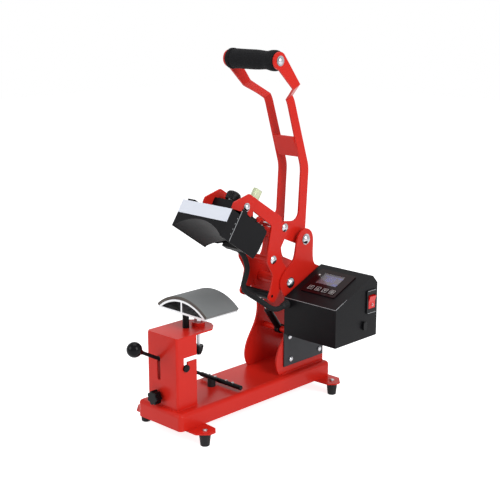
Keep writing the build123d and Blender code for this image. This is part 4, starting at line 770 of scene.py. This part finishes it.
def rocker_half(side):
    """One half of the rocker's face as a plane: it runs from the rocker's middle, 4.2 mm out from its axis,
    to its end, 6.0 mm out and 13 mm up (side 1) or down (side -1), the whole tipped with its upper end in.
    Returns its start and its across, up and outward directions."""
    turn = np.array(((cos(ROCKER_TIP), -sin(ROCKER_TIP)), (sin(ROCKER_TIP), cos(ROCKER_TIP))))
    middle = turn @ np.array((ROCKER_MIDDLE, 0.0))
    end = turn @ np.array((ROCKER_END, side * ROCKER_HALF))
    run = (end - middle) / np.linalg.norm(end - middle)
    start = ROCKER_AXIS + np.array((middle[0], 0.0, middle[1]))
    up = np.array((run[0], 0.0, run[1]))
    out = np.array((abs(run[1]), 0.0, -run[0] * np.sign(run[1])))
    return start, np.array((0.0, 1.0, 0.0)), up, out


mark_on = strips([((0.0, 0.005), (0.0, 0.0095))], 0.0012, 0.00015, rocker_half(1), 0.0)
mark_off = strips(arc(0.0, 0.0070, 0.0022), 0.0011, 0.00015, rocker_half(-1), 0.0)
new_piece("rocker_marks", *joined(mark_on, mark_off), white_ink, "rocker", smooth=False)

# ---------------------------------------------------------------- painted highlight on the folded edge of the head's front band, with a row of small light spots in the same painted grey beside it
SEAM_X, SEAM_FRONT, SEAM_LOW, SPOT_FRONT = 0.0679, -0.2322, -0.0085, -0.2358
seam_parts = []
for side in (-1, 1):
    side_axes = np.array((ARM_REAR, ARM_UP, side * RIGHT))
    seam_parts.append(rounded_slab((0.0012, 0.0640, 0.0007), 0.0003,
                                   tipped(side * SEAM_X, SEAM_FRONT, SEAM_LOW), side_axes))
    for w in (0.004, 0.014, 0.025, 0.036):
        seam_parts.append(rounded_slab((0.0009, 0.0030, 0.0004), 0.0002,
                                       tipped(side * SEAM_X, SPOT_FRONT, w), side_axes))
new_piece("cover_seam_highlights", *joined(*seam_parts), painted_edge_highlight, "head")

# ---------------------------------------------------------------- painted highlights along the box's front and side edges and the rims of its switch
BOX_LEFT, BOX_RIGHT, BOX_FRONT, BOX_TOP = 0.051, 0.1876, 0.0716, 0.2312
front_left = (BOX_LEFT + 0.001, BOX_FRONT + 0.0003, BOX_TOP + 0.0001)
front_right = (BOX_RIGHT - 0.001, BOX_FRONT + 0.0003, BOX_TOP + 0.0001)
front_edge = tube(np.linspace(front_left, front_right, 24), 0.0005, 8)[:2]
corner_in = PANEL_EDGE + (BOX_RIGHT - 0.0006) * RIGHT + 0.0004 * PANEL_OUT
side_line = corner_in + np.linspace(0.001, 0.038, 12)[:, None] * PANEL_UP
side_edge = tube(side_line, np.linspace(0.0007, 0.0002, 12), 8)[:2]
highlight_parts = [front_edge, side_edge]
RIM_X, RIM_HALF_LENGTH, RIM_HALF_HEIGHT = BOX_RIGHT + 0.0029, 0.0125, 0.0232
for end in (-1, 1):
    rim_z = ROCKER_AXIS[2] + end * RIM_HALF_HEIGHT
    rim_line = np.linspace((RIM_X, ROCKER_AXIS[1] - RIM_HALF_LENGTH, rim_z),
                           (RIM_X, ROCKER_AXIS[1] + RIM_HALF_LENGTH, rim_z), 12)
    highlight_parts.append(tube(rim_line, 0.0006, 8)[:2])
new_piece("box_edge_highlights", *joined(*highlight_parts), painted_edge_highlight, "frame")


# ---------------------------------------------------------------- weld beads
def bead(start, end, radius, step=0.0006, ripple=0.0026):
    """A weld bead: a tube along a straight line whose radius swells by a seventh of itself every ripple, as
    radius * (1 + 0.14 * sin(full turns of distance / ripple))."""
    start, end = np.asarray(start, float), np.asarray(end, float)
    count = max(int(np.linalg.norm(end - start) / step), 2)
    line = start + np.linspace(0, 1, count)[:, None] * (end - start)
    return tube(line, radius * (1 + 0.14 * np.sin(2 * pi * distance_along(line) / ripple)), around=8)[:2]


SEAM_TOP = 0.0642
beads = [bead((-0.037, -0.2153, SEAM_TOP), (0.037, -0.2153, SEAM_TOP), 0.0013)]
for side in (-1, 1):
    beads.append(bead((side * 0.0475, 0.068, SEAM_TOP), (side * 0.0475, 0.196, SEAM_TOP), 0.0016))
    beads.append(bead((side * 0.0425, -0.209, SEAM_TOP), (side * 0.0425, -0.164, SEAM_TOP), 0.0013))
new_piece("weld_beads", *joined(*beads), red_paint, "frame")

# ---------------------------------------------------------------- studio
FLOOR_REACH = 6.0
FLOOR_GLOW = 0.80
AMBIENT = 0.30


def seen_directly(tree):
    """1 for rays from the camera, from a mirror and through a pane, and 0 for the light that is scattered."""
    path = node(tree, "ShaderNodeLightPath").outputs
    seen = maths(tree, "MAXIMUM", path["Is Camera Ray"], path["Is Glossy Ray"])
    return maths(tree, "MAXIMUM", seen, path["Is Transmission Ray"])


studio_white, tree, shader = new_material("studio_white", Roughness=0.9, Specular_IOR_Level=0.0)
tint = use_group(tree, coat_group, Colour=(0.92, 0.92, 0.92, 1), Patch_colour=(0.90, 0.90, 0.90, 1),
                 Patch_scale=0.6, Smooth=0.9, Rough=0.95)
tree.links.new(tint["Colour"], shader.inputs["Base Color"])
glow_strength = maths(tree, "MULTIPLY", seen_directly(tree), FLOOR_GLOW)
glow = node(tree, "ShaderNodeEmission", {"Color": (1, 1, 1, 1), "Strength": glow_strength})
both = node(tree, "ShaderNodeAddShader", {0: shader.outputs[0], 1: glow.outputs[0]})
tree.links.new(both.outputs[0], tree.nodes["Material Output"].inputs["Surface"])
floor_mesh = bpy.data.meshes.new("floor")
floor_mesh.from_pydata([(-FLOOR_REACH, -FLOOR_REACH, 0), (FLOOR_REACH, -FLOOR_REACH, 0),
                        (FLOOR_REACH, FLOOR_REACH, 0), (-FLOOR_REACH, FLOOR_REACH, 0)], [], [(0, 1, 2, 3)])
floor_mesh.materials.append(studio_white)
floor = bpy.data.objects.new("floor", floor_mesh)
bpy.context.scene.collection.objects.link(floor)

world = bpy.data.worlds.new("studio")
world.use_nodes = True
bpy.context.scene.world = world
tree = world.node_tree
ambient = tree.nodes["Background"]
ambient.inputs["Color"].default_value = (0.93, 0.95, 1.0, 1)
ambient.inputs["Strength"].default_value = AMBIENT
backdrop = node(tree, "ShaderNodeBackground", {"Color": (1, 1, 1, 1), "Strength": 1.0})
mixed = node(tree, "ShaderNodeMixShader",
             {0: seen_directly(tree), 1: ambient.outputs[0], 2: backdrop.outputs[0]})
tree.links.new(mixed.outputs[0], tree.nodes["World Output"].inputs["Surface"])


def lamp_at(name, place, target, width, height, watts):
    """A soft rectangular lamp at a place, aimed at a target."""
    light = bpy.data.lights.new(name, "AREA")
    light.shape = "RECTANGLE"
    light.size, light.size_y, light.energy = width, height, watts
    made = bpy.data.objects.new(name, light)
    bpy.context.scene.collection.objects.link(made)
    made.location = place
    made.rotation_euler = (Vector(target) - Vector(place)).to_track_quat("-Z", "Y").to_euler()


lamp_at("key", (2.2, -0.2, 1.5), (0.0, 0.0, 0.35), 1.2, 1.6, 40.0)
lamp_at("fill", (-0.9, -2.2, 1.3), (0.0, 0.0, 0.3), 1.4, 1.4, 22.0)
lamp_at("top", (-0.2, 0.2, 2.4), (0.0, 0.0, 0.2), 1.5, 1.5, 15.0)
